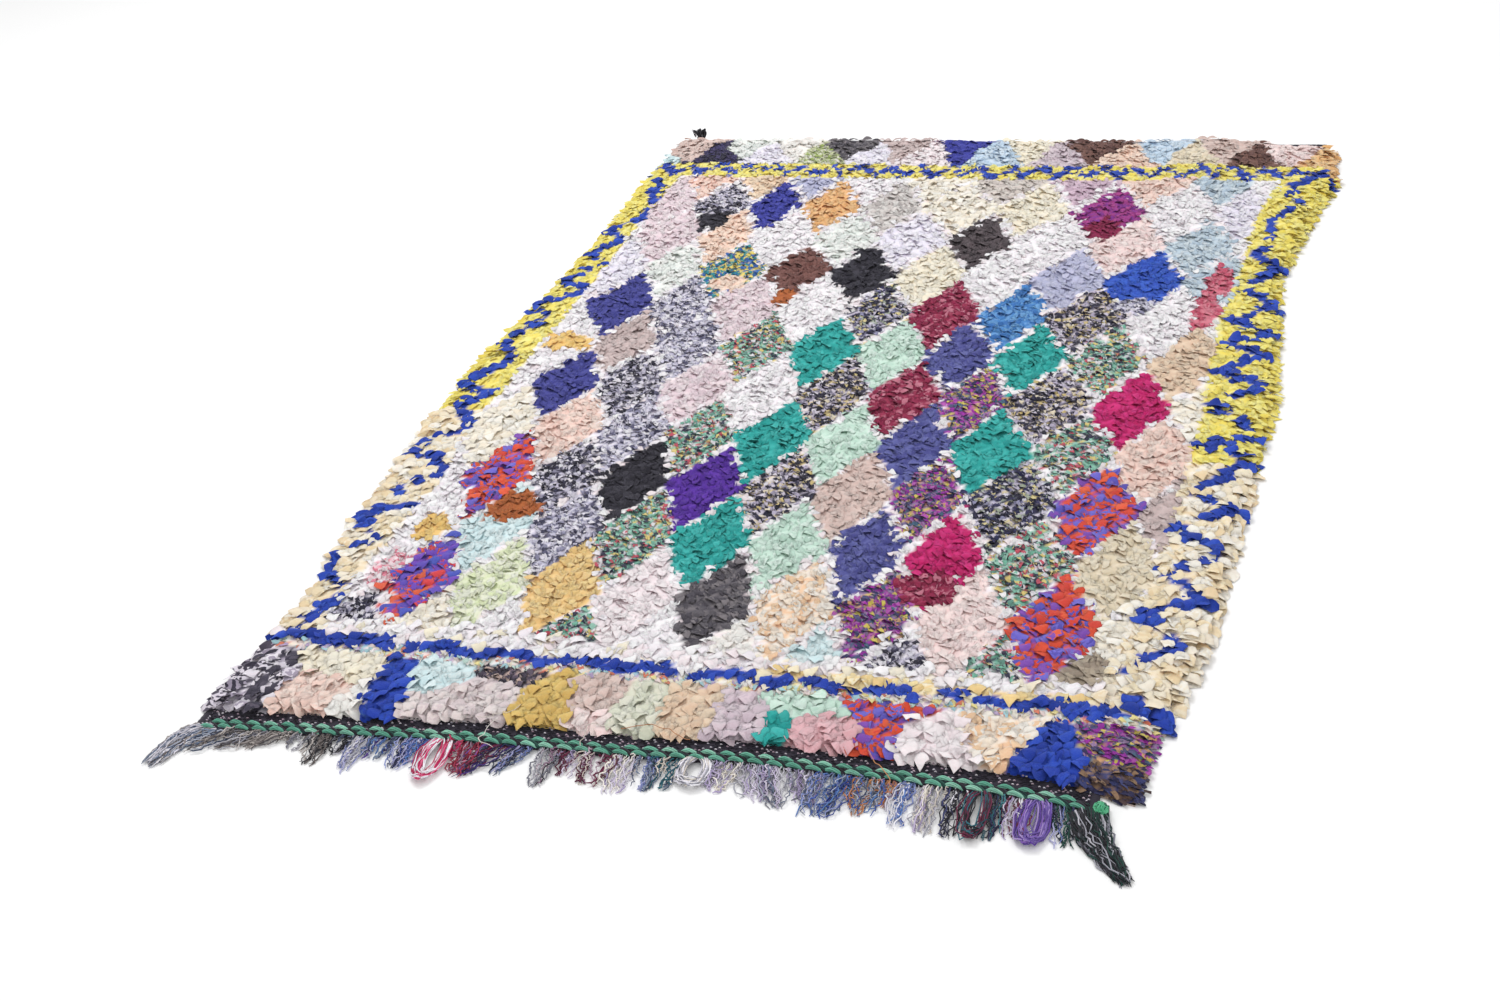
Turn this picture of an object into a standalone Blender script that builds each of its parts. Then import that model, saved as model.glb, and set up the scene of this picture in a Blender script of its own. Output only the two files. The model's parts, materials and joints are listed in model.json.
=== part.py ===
"""Boucherouite rug: a thick rag pile on a woven ground, lying flat on the floor.

Metres, +Z up. The near end, with its band, chain, fringe and tassels, is at -Y. The tables below
are in the weaver's frame, whose x = 0 is the middle of the ground cloth. RUG_MIDDLE brings the
middle of the rug's whole box, on the floor, to the origin.
"""

import math
import random

import bmesh
import bpy
from mathutils import Vector

RUG_MIDDLE = (0.01095, -0.0561)

# Pile: a grid of lumps, lower along its rim, with a lock of rag on every rim face
PILE_COLUMNS, PILE_ROWS = 36, 52
PILE_HEIGHT, LUMP_HEIGHT = 0.021, 0.0055
RIM_HEIGHT, RIM_LUMP = 0.012, 0.0016
LEDGE_HEIGHT = 0.0034
LOCK_LENGTH, LOCK_SPREAD = 0.021, 0.006
SHORTEST_LOCK, LONGEST_LOCK = 0.55, 1.15
LOCK_TIP_SHARE = 0.5
LOCK_TIP_THICKNESS = 0.003
SIDE_LOCK_TIP, END_LOCK_TIP = 0.0015, 0.0045

# Woven bands at the two ends, under the locks
BAND_THICKNESS = 0.0026
GAP = 0.0003
FAR_BAND_DEPTH = 0.0245
PILE_TO_CHAIN = 0.034
CHAIN_TO_BAND_EDGE = 0.007

# Fringe strands, each fused to the band at a narrow root
STRANDS = 88
STRAND_SHARE = 0.42
STRAND_STEPS = 3
STRAND_WIDTH, STRAND_HEIGHT = 0.0062, 0.0055
THINNEST_STRAND, THICKEST_STRAND = 0.85, 1.15
SHORTEST_STRAND = 0.72
STRAND_TIP_SHARE = 0.45
STRAND_WAVER = 0.0015
LEAN_POWER = 1.4
FRINGE_LEFT, FRINGE_RIGHT = -0.640, 0.548

# Chain of two plies
CHAIN_WIDTH, CHAIN_HEIGHT = 0.013, 0.0115
CHAIN_SIDES = 8
CHAIN_STEP, LINK_LENGTH = 0.0095, 0.0285
PLY_DEPTH = 0.2
CHAIN_END_SHARE = 0.55

TASSEL_STRANDS = 7
TASSEL_STEPS = 4
TASSEL_NECK = 0.6
TASSEL_STRAND_FILL = 1.17

TUFT_ACROSS = -0.650
TUFT_LOCKS = 8
TUFT_RADIUS, TUFT_BASE, TUFT_HEIGHT = 0.014, 0.012, 0.034
TUFT_NECK, TUFT_FLARE, TUFT_TIP_SHARE = 0.8, 0.9, 0.35
SHORTEST_TUFT_LOCK = 0.6

# along: distance towards the far end; left, right: how far the rug reaches to each side there
SIDES = [
    {"along": -1.100, "left": 0.686, "right": 0.640},
    {"along": -0.880, "left": 0.680, "right": 0.646},
    {"along": -0.700, "left": 0.672, "right": 0.676},
    {"along": -0.550, "left": 0.700, "right": 0.690},
    {"along": -0.280, "left": 0.716, "right": 0.699},
    {"along": 0.000, "left": 0.733, "right": 0.717},
    {"along": 0.260, "left": 0.711, "right": 0.700},
    {"along": 0.450, "left": 0.705, "right": 0.688},
    {"along": 0.640, "left": 0.703, "right": 0.717},
    {"along": 0.800, "left": 0.709, "right": 0.745},
    {"along": 0.930, "left": 0.706, "right": 0.762},
    {"along": 1.100, "left": 0.700, "right": 0.740},
]

# across: place along the end; far: the pile's far edge; chain: the chain's middle line
ENDS = [
    {"across": -0.720, "far": 1.068, "chain": -1.118},
    {"across": -0.560, "far": 1.072, "chain": -1.104},
    {"across": -0.410, "far": 1.073, "chain": -1.091},
    {"across": -0.240, "far": 1.074, "chain": -1.077},
    {"across": -0.050, "far": 1.075, "chain": -1.073},
    {"across": 0.125, "far": 1.075, "chain": -1.061},
    {"across": 0.380, "far": 1.080, "chain": -1.066},
    {"across": 0.480, "far": 1.102, "chain": -1.071},
    {"across": 0.560, "far": 1.078, "chain": -1.083},
    {"across": 0.640, "far": 1.072, "chain": -1.104},
    {"across": 0.760, "far": 1.066, "chain": -1.125},
]

# across: root; reach: how far the strands run out past the band; sweep: how far their tips lean to +x
FRINGE = [
    {"across": -0.640, "reach": 0.034, "sweep": 0.003},
    {"across": -0.600, "reach": 0.042, "sweep": -0.018},
    {"across": -0.550, "reach": 0.042, "sweep": -0.042},
    {"across": -0.490, "reach": 0.058, "sweep": -0.010},
    {"across": -0.430, "reach": 0.074, "sweep": -0.006},
    {"across": -0.370, "reach": 0.056, "sweep": 0.004},
    {"across": -0.290, "reach": 0.082, "sweep": -0.006},
    {"across": -0.210, "reach": 0.052, "sweep": -0.026},
    {"across": -0.145, "reach": 0.074, "sweep": -0.002},
    {"across": -0.060, "reach": 0.056, "sweep": 0.004},
    {"across": -0.020, "reach": 0.076, "sweep": 0.002},
    {"across": 0.070, "reach": 0.050, "sweep": 0.006},
    {"across": 0.160, "reach": 0.052, "sweep": 0.016},
    {"across": 0.270, "reach": 0.078, "sweep": 0.002},
    {"across": 0.350, "reach": 0.074, "sweep": 0.002},
    {"across": 0.420, "reach": 0.088, "sweep": 0.008},
    {"across": 0.480, "reach": 0.074, "sweep": 0.002},
    {"across": 0.550, "reach": 0.052, "sweep": -0.004},
]

# left, right, near, far: the bound head; lean: shift of its far edge; sweeps, reaches: of its
# first and last strands, as in the fringe
TASSELS = {
    "tassel_left": {
        "left": -0.678, "right": FRINGE_LEFT - GAP, "near": -1.132, "far": -1.1065,
        "lean": 0.0074, "height": 0.010, "sweeps": (-0.058, -0.034), "reaches": (0.062, 0.080),
    },
    "tassel_right": {
        "left": FRINGE_RIGHT + GAP, "right": 0.600, "near": -1.116, "far": -1.0785,
        "lean": -0.0103, "height": 0.014, "sweeps": (0.012, 0.040), "reaches": (0.060, 0.098),
    },
}


def read_row(rows, key, column, at):
    """The value of a table's column at a place along its key, straight between rows."""
    at = min(max(at, rows[0][key]), rows[-1][key])
    for low, high in zip(rows, rows[1:]):
        if at <= high[key]:
            share = (at - low[key]) / (high[key] - low[key])
            return low[column] + (high[column] - low[column]) * share


def near_pile_edge(across):
    return read_row(ENDS, "across", "chain", across) + PILE_TO_CHAIN


def far_pile_edge(across):
    return read_row(ENDS, "across", "far", across) - LOCK_LENGTH


def place_on_rug(u, v):
    """The point a share u across and v along the pile's ground."""
    along = near_pile_edge(0) + (far_pile_edge(0) - near_pile_edge(0)) * v
    left = LOCK_LENGTH - read_row(SIDES, "along", "left", along)
    right = read_row(SIDES, "along", "right", along) - LOCK_LENGTH
    across = left + (right - left) * u
    near, far = near_pile_edge(across), far_pile_edge(across)
    return across, near + (far - near) * v


def pile_end(across, v):
    """The pile's straight-sided end line, at v = 0 or 1, read at a place across."""
    line = [place_on_rug(i / PILE_COLUMNS, v) for i in range(PILE_COLUMNS + 1)]
    rows = [{"across": x, "along": y} for x, y in line]
    return read_row(rows, "across", "along", across)


def make_material(name, colour, roughness):
    material = bpy.data.materials.new(name)
    material.use_nodes = True
    shader = material.node_tree.nodes["Principled BSDF"]
    shader.inputs["Base Color"].default_value = (*colour, 1)
    shader.inputs["Roughness"].default_value = roughness
    shader.inputs["Metallic"].default_value = 0
    material.diffuse_color = (*colour, 1)
    return material


def add_piece(name, bm, material, holder):
    """The finished object of a bmesh, under the rug's empty."""
    bmesh.ops.recalc_face_normals(bm, faces=bm.faces[:])
    mesh = bpy.data.meshes.new(name)
    bm.to_mesh(mesh)
    bm.free()
    mesh.materials.append(material)
    piece = bpy.data.objects.new(name, mesh)
    holder.users_collection[0].objects.link(piece)
    piece.parent = holder
    return piece


def add_walls(bm, levels):
    """Walls from the open rim down to each level in turn, then one flat face below.

    Gives the faces of the first wall."""
    rim = [edge for edge in bm.edges if edge.is_boundary]
    walls = []
    for level in levels:
        before = set(bm.faces)
        made = bmesh.ops.extrude_edge_only(bm, edges=rim)["geom"]
        for vert in (v for v in made if isinstance(v, bmesh.types.BMVert)):
            vert.co.z = level
        walls.append([face for face in bm.faces if face not in before])
        rim = [edge for edge in bm.edges if edge.is_boundary]
    bmesh.ops.holes_fill(bm, edges=rim, sides=0)
    return walls[0]


def push_out(bm, face):
    """One face extruded on its own."""
    return bmesh.ops.extrude_discrete_faces(bm, faces=[face])["faces"][0]


def place_ring(face, middle, side, width, low, high, is_right, is_top):
    """Sets a four-cornered end face: its corners go to either side of middle, at two heights."""
    for vert in face.verts:
        across = side * (width / 2 if is_right(vert) else -width / 2)
        vert.co = (middle.x + across.x, middle.y + across.y, high if is_top(vert) else low)


def make_pile(material, holder):
    rng = random.Random(3)
    bm = bmesh.new()
    bmesh.ops.create_grid(bm, x_segments=PILE_COLUMNS, y_segments=PILE_ROWS, size=0.5)
    for vert in bm.verts:
        across, along = place_on_rug(vert.co.x + 0.5, vert.co.y + 0.5)
        top = PILE_HEIGHT + rng.uniform(-LUMP_HEIGHT, LUMP_HEIGHT)
        if vert.is_boundary:
            top = RIM_HEIGHT + rng.uniform(-RIM_LUMP, RIM_LUMP)
        vert.co = (across, along, top)
    wall = add_walls(bm, [LEDGE_HEIGHT, 0])
    bmesh.ops.recalc_face_normals(bm, faces=bm.faces[:])
    for face in sorted(wall, key=lambda face: face.calc_center_median().xy[:]):
        out = Vector((face.normal.x, face.normal.y)).normalized()
        middle = face.calc_center_median().xy
        root_width = max((a.co.xy - b.co.xy).length for a in face.verts for b in face.verts)
        side = Vector((-out.y, out.x))
        at_side = abs(out.x) > abs(out.y)
        low = SIDE_LOCK_TIP if at_side else END_LOCK_TIP
        tip = push_out(bm, face)
        reach = LOCK_LENGTH * rng.uniform(SHORTEST_LOCK, LONGEST_LOCK)
        drift = side * rng.uniform(-LOCK_SPREAD, LOCK_SPREAD)
        level = sum(v.co.z for v in tip.verts) / 4
        place_ring(
            tip, middle + out * reach + drift, side, root_width * LOCK_TIP_SHARE,
            low, low + LOCK_TIP_THICKNESS,
            lambda v: (v.co.xy - middle).dot(side) > 0, lambda v: v.co.z > level,
        )
    return add_piece("rag_pile", bm, material, holder)


def make_comb(bm, near_edge, far_edge, thickness):
    """A strip between two rows of points, and its near wall's faces from left to right."""
    spans = len(near_edge) - 1
    bmesh.ops.create_grid(bm, x_segments=spans, y_segments=1, size=0.5)
    is_near = bm.verts.layers.int.new("is_near")
    for vert in bm.verts:
        column = round((vert.co.x + 0.5) * spans)
        vert[is_near] = vert.co.y < 0
        edge = near_edge if vert[is_near] else far_edge
        vert.co = (*edge[column], thickness)
    wall = add_walls(bm, [0])
    near_wall = [face for face in wall if all(vert[is_near] for vert in face.verts)]
    return sorted(near_wall, key=lambda face: face.calc_center_median().x)


def grow_strand(bm, face, path, width, height, tip_share):
    """A strand fused to a wall face, level on the floor along a path of (x, y) points."""
    for step, (here, ahead) in enumerate(zip(path, path[1:]), 1):
        run = (ahead - here).normalized()
        side = Vector((-run.y, run.x))
        middle = face.calc_center_median()
        thin = 1 - (1 - tip_share) * (step / (len(path) - 1)) ** 2
        face = push_out(bm, face)
        place_ring(
            face, ahead, side, width * thin, 0, height * thin,
            lambda v: (v.co.xy - middle.xy).dot(side) > 0, lambda v: v.co.z > middle.z,
        )


def curved_path(root, reach, sweep, steps, waver):
    """From root towards -Y, leaning ever more to the side, with a slight waver."""
    points = []
    for i in range(steps + 1):
        share = i / steps
        lean = sweep * share**LEAN_POWER + waver * math.sin(share * math.pi)
        points.append(Vector((root[0] + lean, root[1] - reach * share)))
    return points


def make_fringe(material, holder):
    rng = random.Random(8)
    pitch = (FRINGE_RIGHT - FRINGE_LEFT) / STRANDS
    stations = []
    for i in range(STRANDS):
        middle = FRINGE_LEFT + pitch * (i + 0.5)
        stations += [middle - pitch * STRAND_SHARE / 2, middle + pitch * STRAND_SHARE / 2]
    near_edge, far_edge = [], []
    for across in stations:
        chain = read_row(ENDS, "across", "chain", across)
        near_edge.append((across, chain - CHAIN_TO_BAND_EDGE))
        far_edge.append((across, pile_end(across, 0) - GAP))
    bm = bmesh.new()
    roots = make_comb(bm, near_edge, far_edge, BAND_THICKNESS)[::2]
    for face in roots:
        root = face.calc_center_median().xy
        reach = read_row(FRINGE, "across", "reach", root.x) * rng.uniform(SHORTEST_STRAND, 1)
        sweep = read_row(FRINGE, "across", "sweep", root.x)
        path = curved_path(root, reach, sweep, STRAND_STEPS, rng.uniform(-1, 1) * STRAND_WAVER)
        width = STRAND_WIDTH * rng.uniform(THINNEST_STRAND, THICKEST_STRAND)
        grow_strand(bm, face, path, width, STRAND_HEIGHT, STRAND_TIP_SHARE)
    return add_piece("warp_fringe", bm, material, holder)


def make_far_band(material, holder):
    rim = [place_on_rug(i / PILE_COLUMNS, 1) for i in range(PILE_COLUMNS + 1)]
    near_edge = [(across, along + GAP) for across, along in rim]
    far_edge = [(across, along + FAR_BAND_DEPTH) for across, along in rim]
    bm = bmesh.new()
    make_comb(bm, near_edge, far_edge, BAND_THICKNESS)
    return add_piece("far_band", bm, material, holder)


def make_chain(material, holder):
    """Two plies twisted round each other, as one rope with a turning two-lobed section."""
    length = FRINGE_RIGHT - FRINGE_LEFT
    steps = round(length / CHAIN_STEP)
    turn = math.pi * CHAIN_STEP / LINK_LENGTH
    middle_height = BAND_THICKNESS + GAP + CHAIN_HEIGHT / 2
    bm = bmesh.new()
    bmesh.ops.create_cone(
        bm, cap_ends=True, segments=CHAIN_SIDES, radius1=1, radius2=1, depth=1
    )
    corner = bm.verts.layers.int.new("corner")
    for vert in bm.verts:
        vert[corner] = round(math.atan2(vert.co.y, vert.co.x) * CHAIN_SIDES / (2 * math.pi))
    caps = [face for face in bm.faces if len(face.verts) == CHAIN_SIDES]
    first, face = sorted(caps, key=lambda cap: cap.calc_center_median().z)
    for step in range(steps + 1):
        if step > 1:
            face = push_out(bm, face)
        across = FRINGE_LEFT + length * step / steps
        along = read_row(ENDS, "across", "chain", across)
        taper = CHAIN_END_SHARE if step in (0, steps) else 1
        for vert in (face if step else first).verts:
            angle = 2 * math.pi * vert[corner] / CHAIN_SIDES
            lobe = taper * (1 - PLY_DEPTH + PLY_DEPTH * math.cos(2 * (angle - turn * step)))
            reach = math.cos(angle) * lobe * CHAIN_WIDTH / 2
            rise = math.sin(angle) * lobe * CHAIN_HEIGHT / 2
            vert.co = (across, along + reach, middle_height + rise)
    return add_piece("twined_chain", bm, material, holder)


def make_tassel(name, tassel, material, holder):
    """A bound head with strands fanned out level on the floor."""
    width = tassel["right"] - tassel["left"]
    middle = tassel["left"] + width / 2
    spans = 2 * TASSEL_STRANDS - 1
    near_edge, far_edge = [], []
    for i in range(spans + 1):
        place = width * (i / spans - 0.5)
        near_edge.append((middle + place, tassel["near"]))
        far_edge.append((middle + place * TASSEL_NECK + tassel["lean"], tassel["far"]))
    bm = bmesh.new()
    roots = make_comb(bm, near_edge, far_edge, tassel["height"])[::2]
    first_sweep, last_sweep = tassel["sweeps"]
    first_reach, last_reach = tassel["reaches"]
    for i, face in enumerate(roots):
        share = i / (TASSEL_STRANDS - 1)
        sweep = first_sweep + (last_sweep - first_sweep) * share
        reach = first_reach + (last_reach - first_reach) * share
        path = curved_path(face.calc_center_median().xy, reach, sweep, TASSEL_STEPS, 0)
        strand_width = TASSEL_STRAND_FILL * width / spans
        grow_strand(bm, face, path, strand_width, tassel["height"], STRAND_TIP_SHARE)
    return add_piece(name, bm, material, holder)


def make_tuft(material, holder):
    """A short round base whose top is divided into locks that stand up and apart."""
    rng = random.Random(5)
    along = pile_end(TUFT_ACROSS, 1) + FAR_BAND_DEPTH + 2 * GAP + TUFT_RADIUS
    bm = bmesh.new()
    bmesh.ops.create_cone(
        bm, cap_ends=True, segments=TUFT_LOCKS, depth=TUFT_BASE,
        radius1=TUFT_RADIUS, radius2=TUFT_RADIUS * TUFT_NECK,
    )
    bmesh.ops.translate(bm, verts=bm.verts[:], vec=(TUFT_ACROSS, along, TUFT_BASE / 2))
    top = max(bm.faces, key=lambda face: face.calc_center_median().z)
    locks = bmesh.ops.poke(bm, faces=[top])["faces"]
    for face in sorted(locks, key=lambda face: face.calc_center_median().xy[:]):
        middle = face.calc_center_median()
        out = (middle - Vector((TUFT_ACROSS, along, middle.z))) * TUFT_FLARE
        rise = (TUFT_HEIGHT - TUFT_BASE) * rng.uniform(SHORTEST_TUFT_LOCK, 1)
        tip = middle + out + Vector((0, 0, rise))
        for vert in push_out(bm, face).verts:
            vert.co = tip + (vert.co - middle) * TUFT_TIP_SHARE
    return add_piece("corner_tuft", bm, material, holder)


def clear_scene():
    for existing in list(bpy.data.objects):
        bpy.data.objects.remove(existing)


def build_rug():
    clear_scene()
    collection = bpy.data.collections.new("boucherouite_rug")
    bpy.context.scene.collection.children.link(collection)
    holder = bpy.data.objects.new("rug_middle", None)
    holder.location = (-RUG_MIDDLE[0], -RUG_MIDDLE[1], 0)
    collection.objects.link(holder)

    rag = make_material("pale_rag_cotton", (0.70, 0.60, 0.58), 0.95)
    band = make_material("dark_woven_band", (0.018, 0.016, 0.024), 0.9)
    fringe = make_material("mauve_grey_yarn", (0.30, 0.27, 0.36), 0.95)
    chain = make_material("green_twined_yarn", (0.07, 0.24, 0.17), 0.85)
    grey_blue = make_material("grey_blue_yarn", (0.20, 0.23, 0.30), 0.95)
    dark_green = make_material("dark_green_yarn", (0.02, 0.07, 0.06), 0.95)
    black_white = make_material("black_white_yarn", (0.06, 0.06, 0.07), 0.95)

    make_pile(rag, holder)
    make_fringe(fringe, holder)
    make_far_band(band, holder)
    make_chain(chain, holder)
    make_tuft(black_white, holder)
    make_tassel("tassel_left", TASSELS["tassel_left"], grey_blue, holder)
    make_tassel("tassel_right", TASSELS["tassel_right"], dark_green, holder)


build_rug()
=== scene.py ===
"""Boucherouite rug: rag pile on a woven ground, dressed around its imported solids.

Metres, +Z up. Pieces are made in the weaver's frame, whose x = 0 is the middle of the ground cloth,
and finish_piece moves them by RUG_MIDDLE into the frame of the solids.
"""

import json
import math
import random

import bmesh
import bpy
import numpy as np
from mathutils import Matrix, Vector, noise

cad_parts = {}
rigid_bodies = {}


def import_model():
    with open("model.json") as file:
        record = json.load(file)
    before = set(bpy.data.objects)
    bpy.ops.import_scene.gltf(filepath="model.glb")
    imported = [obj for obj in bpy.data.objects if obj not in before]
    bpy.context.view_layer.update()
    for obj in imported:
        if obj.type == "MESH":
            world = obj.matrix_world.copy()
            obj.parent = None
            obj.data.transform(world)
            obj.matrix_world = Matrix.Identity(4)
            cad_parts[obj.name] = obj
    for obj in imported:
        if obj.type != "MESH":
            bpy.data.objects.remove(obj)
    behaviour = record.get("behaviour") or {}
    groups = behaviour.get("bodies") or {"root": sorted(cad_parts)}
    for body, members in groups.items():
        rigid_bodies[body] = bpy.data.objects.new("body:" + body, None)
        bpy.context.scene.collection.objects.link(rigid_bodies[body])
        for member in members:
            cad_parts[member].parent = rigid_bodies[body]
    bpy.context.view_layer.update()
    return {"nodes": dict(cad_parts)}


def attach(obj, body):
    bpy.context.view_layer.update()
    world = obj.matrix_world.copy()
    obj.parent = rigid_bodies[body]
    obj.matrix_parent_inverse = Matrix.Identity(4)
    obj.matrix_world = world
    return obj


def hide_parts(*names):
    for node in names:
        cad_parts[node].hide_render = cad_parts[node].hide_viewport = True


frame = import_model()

RUG_MIDDLE = Vector((0.01095, -0.0561, 0))

CAMERA_PLACE = (0.8884, -2.9073, 1.604)
CAMERA_TURN, CAMERA_DIP, CAMERA_ROLL = 0.3645, 0.5337, 0.1261
CAMERA_LENS, CAMERA_SENSOR = 48, 36

# Pile
GROUND_TOP = 0.0028
PACKED_TOP, PACKED_LUMPS, PACKED_STEP, PACKED_EDGE, FAR_EDGE = 0.0158, 0.0018, 0.0086, 0.018, 0.003
ROOT_DEPTH = 0.0020
CRUMPLE, CRUMPLE_SIZE = 0.0030, 90
LEAST_HEIGHT = 0.0008
CELL_EDGE = 0.08
SIDE_COMB, RIM_INSET, NEAR_INSET, FAR_INSET = 0.08, 0.003, 0.017, 0.002
FAR_COMB, FAR_COMB_END = 0.018, 0.53
SIDE_LEAN, FAR_LEAN = 1.4, 1.0
FAR_REACH = (0.50, 0.70), (0.012, 0.030)
LIE = (0.42, -0.82)
LIE_WANDER, LIE_SPREAD, RIM_SPREAD = 0.55, 0.42, 0.30
SHOWS_AT = 0.55

# Lozenge field: pitches, and the height over which a lozenge narrows to its tip
LOZENGE_ORIGIN = (0.036, -0.576)
LOZENGE_ACROSS, LOZENGE_ALONG = 0.125, 0.3171
LOZENGE_TIP = 0.125
WARP_ACROSS, WARP_ALONG, WARP_SIZE = 0.010, 0.016, 9
SCRAP_EDGE, SCRAP_VARIES, SCRAP_SHARE = 1.00, 0.20, 0.70
EDGE_FRAY, FRAY_ACROSS, FRAY_ALONG = 0.26, 80, 30

# Bands at the near end lie along a nearly straight line; those at the far end follow its rim
NEAR_LINE, NEAR_LINE_HALF, NEAR_LINE_WAVE, NEAR_LINE_SHARE = -0.903, 0.0115, 0.007, 0.84
CONFETTI_DEPTH, CREAM_DEPTH = 0.028, 0.050
FAR_PANEL_DEPTH, FAR_BORDER_DEPTH = 0.148, 0.220
FAR_PATCH_HALF, FAR_PATCH_BEND = 0.066, 0.024
YELLOW_ENDS = {"left": -0.205, "right": -0.265}
ZIGZAG_HALF, ZIGZAG_SHARE, FAR_ZIGZAG = 0.0105, 0.80, 0.064
PETALS_BELOW = -0.84

# along: where the weaver's columns were read; drift: at a place across, how far they lie from even
COLUMN_DRIFT = [
    {"along": -0.735, "drift": [
        (-0.49, 0.033), (-0.38, 0.020), (-0.27, 0.007), (0, 0), (0.335, -0.015), (0.47, -0.010),
    ]},
    {"along": 0.000, "drift": [
        (-0.50, 0.017), (-0.44, 0.008), (-0.19, 0.010), (0, 0.010), (0.29, -0.004), (0.41, 0.012),
    ]},
    {"along": 0.375, "drift": [
        (-0.50, -0.006), (-0.35, -0.018), (-0.21, 0), (-0.09, 0), (0.34, 0.012), (0.445, 0.033),
    ]},
    {"along": 0.690, "drift": [
        (-0.467, -0.008), (-0.355, -0.022), (-0.233, -0.027), (-0.10, -0.022), (0.04, -0.005),
        (0.183, 0.020), (0.338, 0.050), (0.50, 0.060),
    ]},
]

# along, across: the inner edge of each side border
INNER_EDGES = {
    "left": [(-0.90, -0.598), (-0.45, -0.598), (-0.32, -0.617), (0.30, -0.618), (0.90, -0.622)],
    "right": [
        (-0.88, 0.545), (-0.70, 0.568), (-0.45, 0.590), (-0.08, 0.595), (0.20, 0.588), (0.39, 0.606),
        (0.63, 0.608), (0.75, 0.623), (0.83, 0.640),
    ],
}

# across, along: corners of the blue zigzag in each side border, from the far end
ZIGZAGS = {
    "left": [
        (-0.660, 0.893), (-0.665, 0.849), (-0.638, 0.724), (-0.620, 0.611), (-0.671, 0.548),
        (-0.629, 0.512), (-0.671, 0.430), (-0.631, 0.391), (-0.679, 0.312), (-0.611, 0.263),
        (-0.703, 0.203), (-0.641, 0.147), (-0.688, 0.049), (-0.650, -0.030), (-0.712, -0.130),
        (-0.626, -0.153), (-0.672, -0.200), (-0.613, -0.273), (-0.699, -0.350), (-0.593, -0.415),
        (-0.665, -0.491), (-0.602, -0.530), (-0.689, -0.573), (-0.622, -0.627), (-0.674, -0.727),
        (-0.593, -0.780), (-0.643, -0.891),
    ],
    "right": [
        (0.715, 0.870), (0.667, 0.843), (0.690, 0.738), (0.640, 0.667), (0.647, 0.552),
        (0.620, 0.510), (0.668, 0.460), (0.621, 0.357), (0.677, 0.292), (0.609, 0.234),
        (0.680, 0.185), (0.603, 0.145), (0.678, 0.105), (0.606, 0.043), (0.690, -0.005),
        (0.602, -0.067), (0.690, -0.166), (0.607, -0.207), (0.686, -0.240), (0.613, -0.350),
        (0.680, -0.388), (0.594, -0.453), (0.672, -0.515), (0.595, -0.574), (0.664, -0.633),
        (0.570, -0.673), (0.638, -0.750), (0.565, -0.800), (0.600, -0.860), (0.590, -0.900),
    ],
}

# pitch: spacing of its knots across and along. wide, long: its size. rise, droop: its slopes at root
# and tip, in degrees. root, tip: its width there. cup, ripple: how far it is bent. slant: of its tip
CUTS = {
    "petal": {
        "pitch": (0.0122, 0.0112), "columns": 3, "rows": 4, "variants": 10, "wide": (0.016, 0.024),
        "long": (0.023, 0.030), "rise": (24, 56), "droop": (-52, -14), "root": 0.5, "tip": 0.88,
        "cup": 0.12, "ripple": 0.07, "slant": 0.24,
    },
    "strip": {
        "pitch": (0.0084, 0.0086), "columns": 2, "rows": 4, "variants": 10, "wide": (0.009, 0.014),
        "long": (0.019, 0.025), "rise": (18, 46), "droop": (-54, -18), "root": 0.6, "tip": 0.86,
        "cup": 0.10, "ripple": 0.06, "slant": 0.26,
    },
    "snip": {
        "pitch": (0.0067, 0.0072), "columns": 2, "rows": 3, "variants": 10, "wide": (0.0055, 0.009),
        "long": (0.014, 0.019), "rise": (20, 56), "droop": (-50, -8), "root": 0.6, "tip": 0.9,
        "cup": 0.12, "ripple": 0.08, "slant": 0.25,
    },
}

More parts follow.
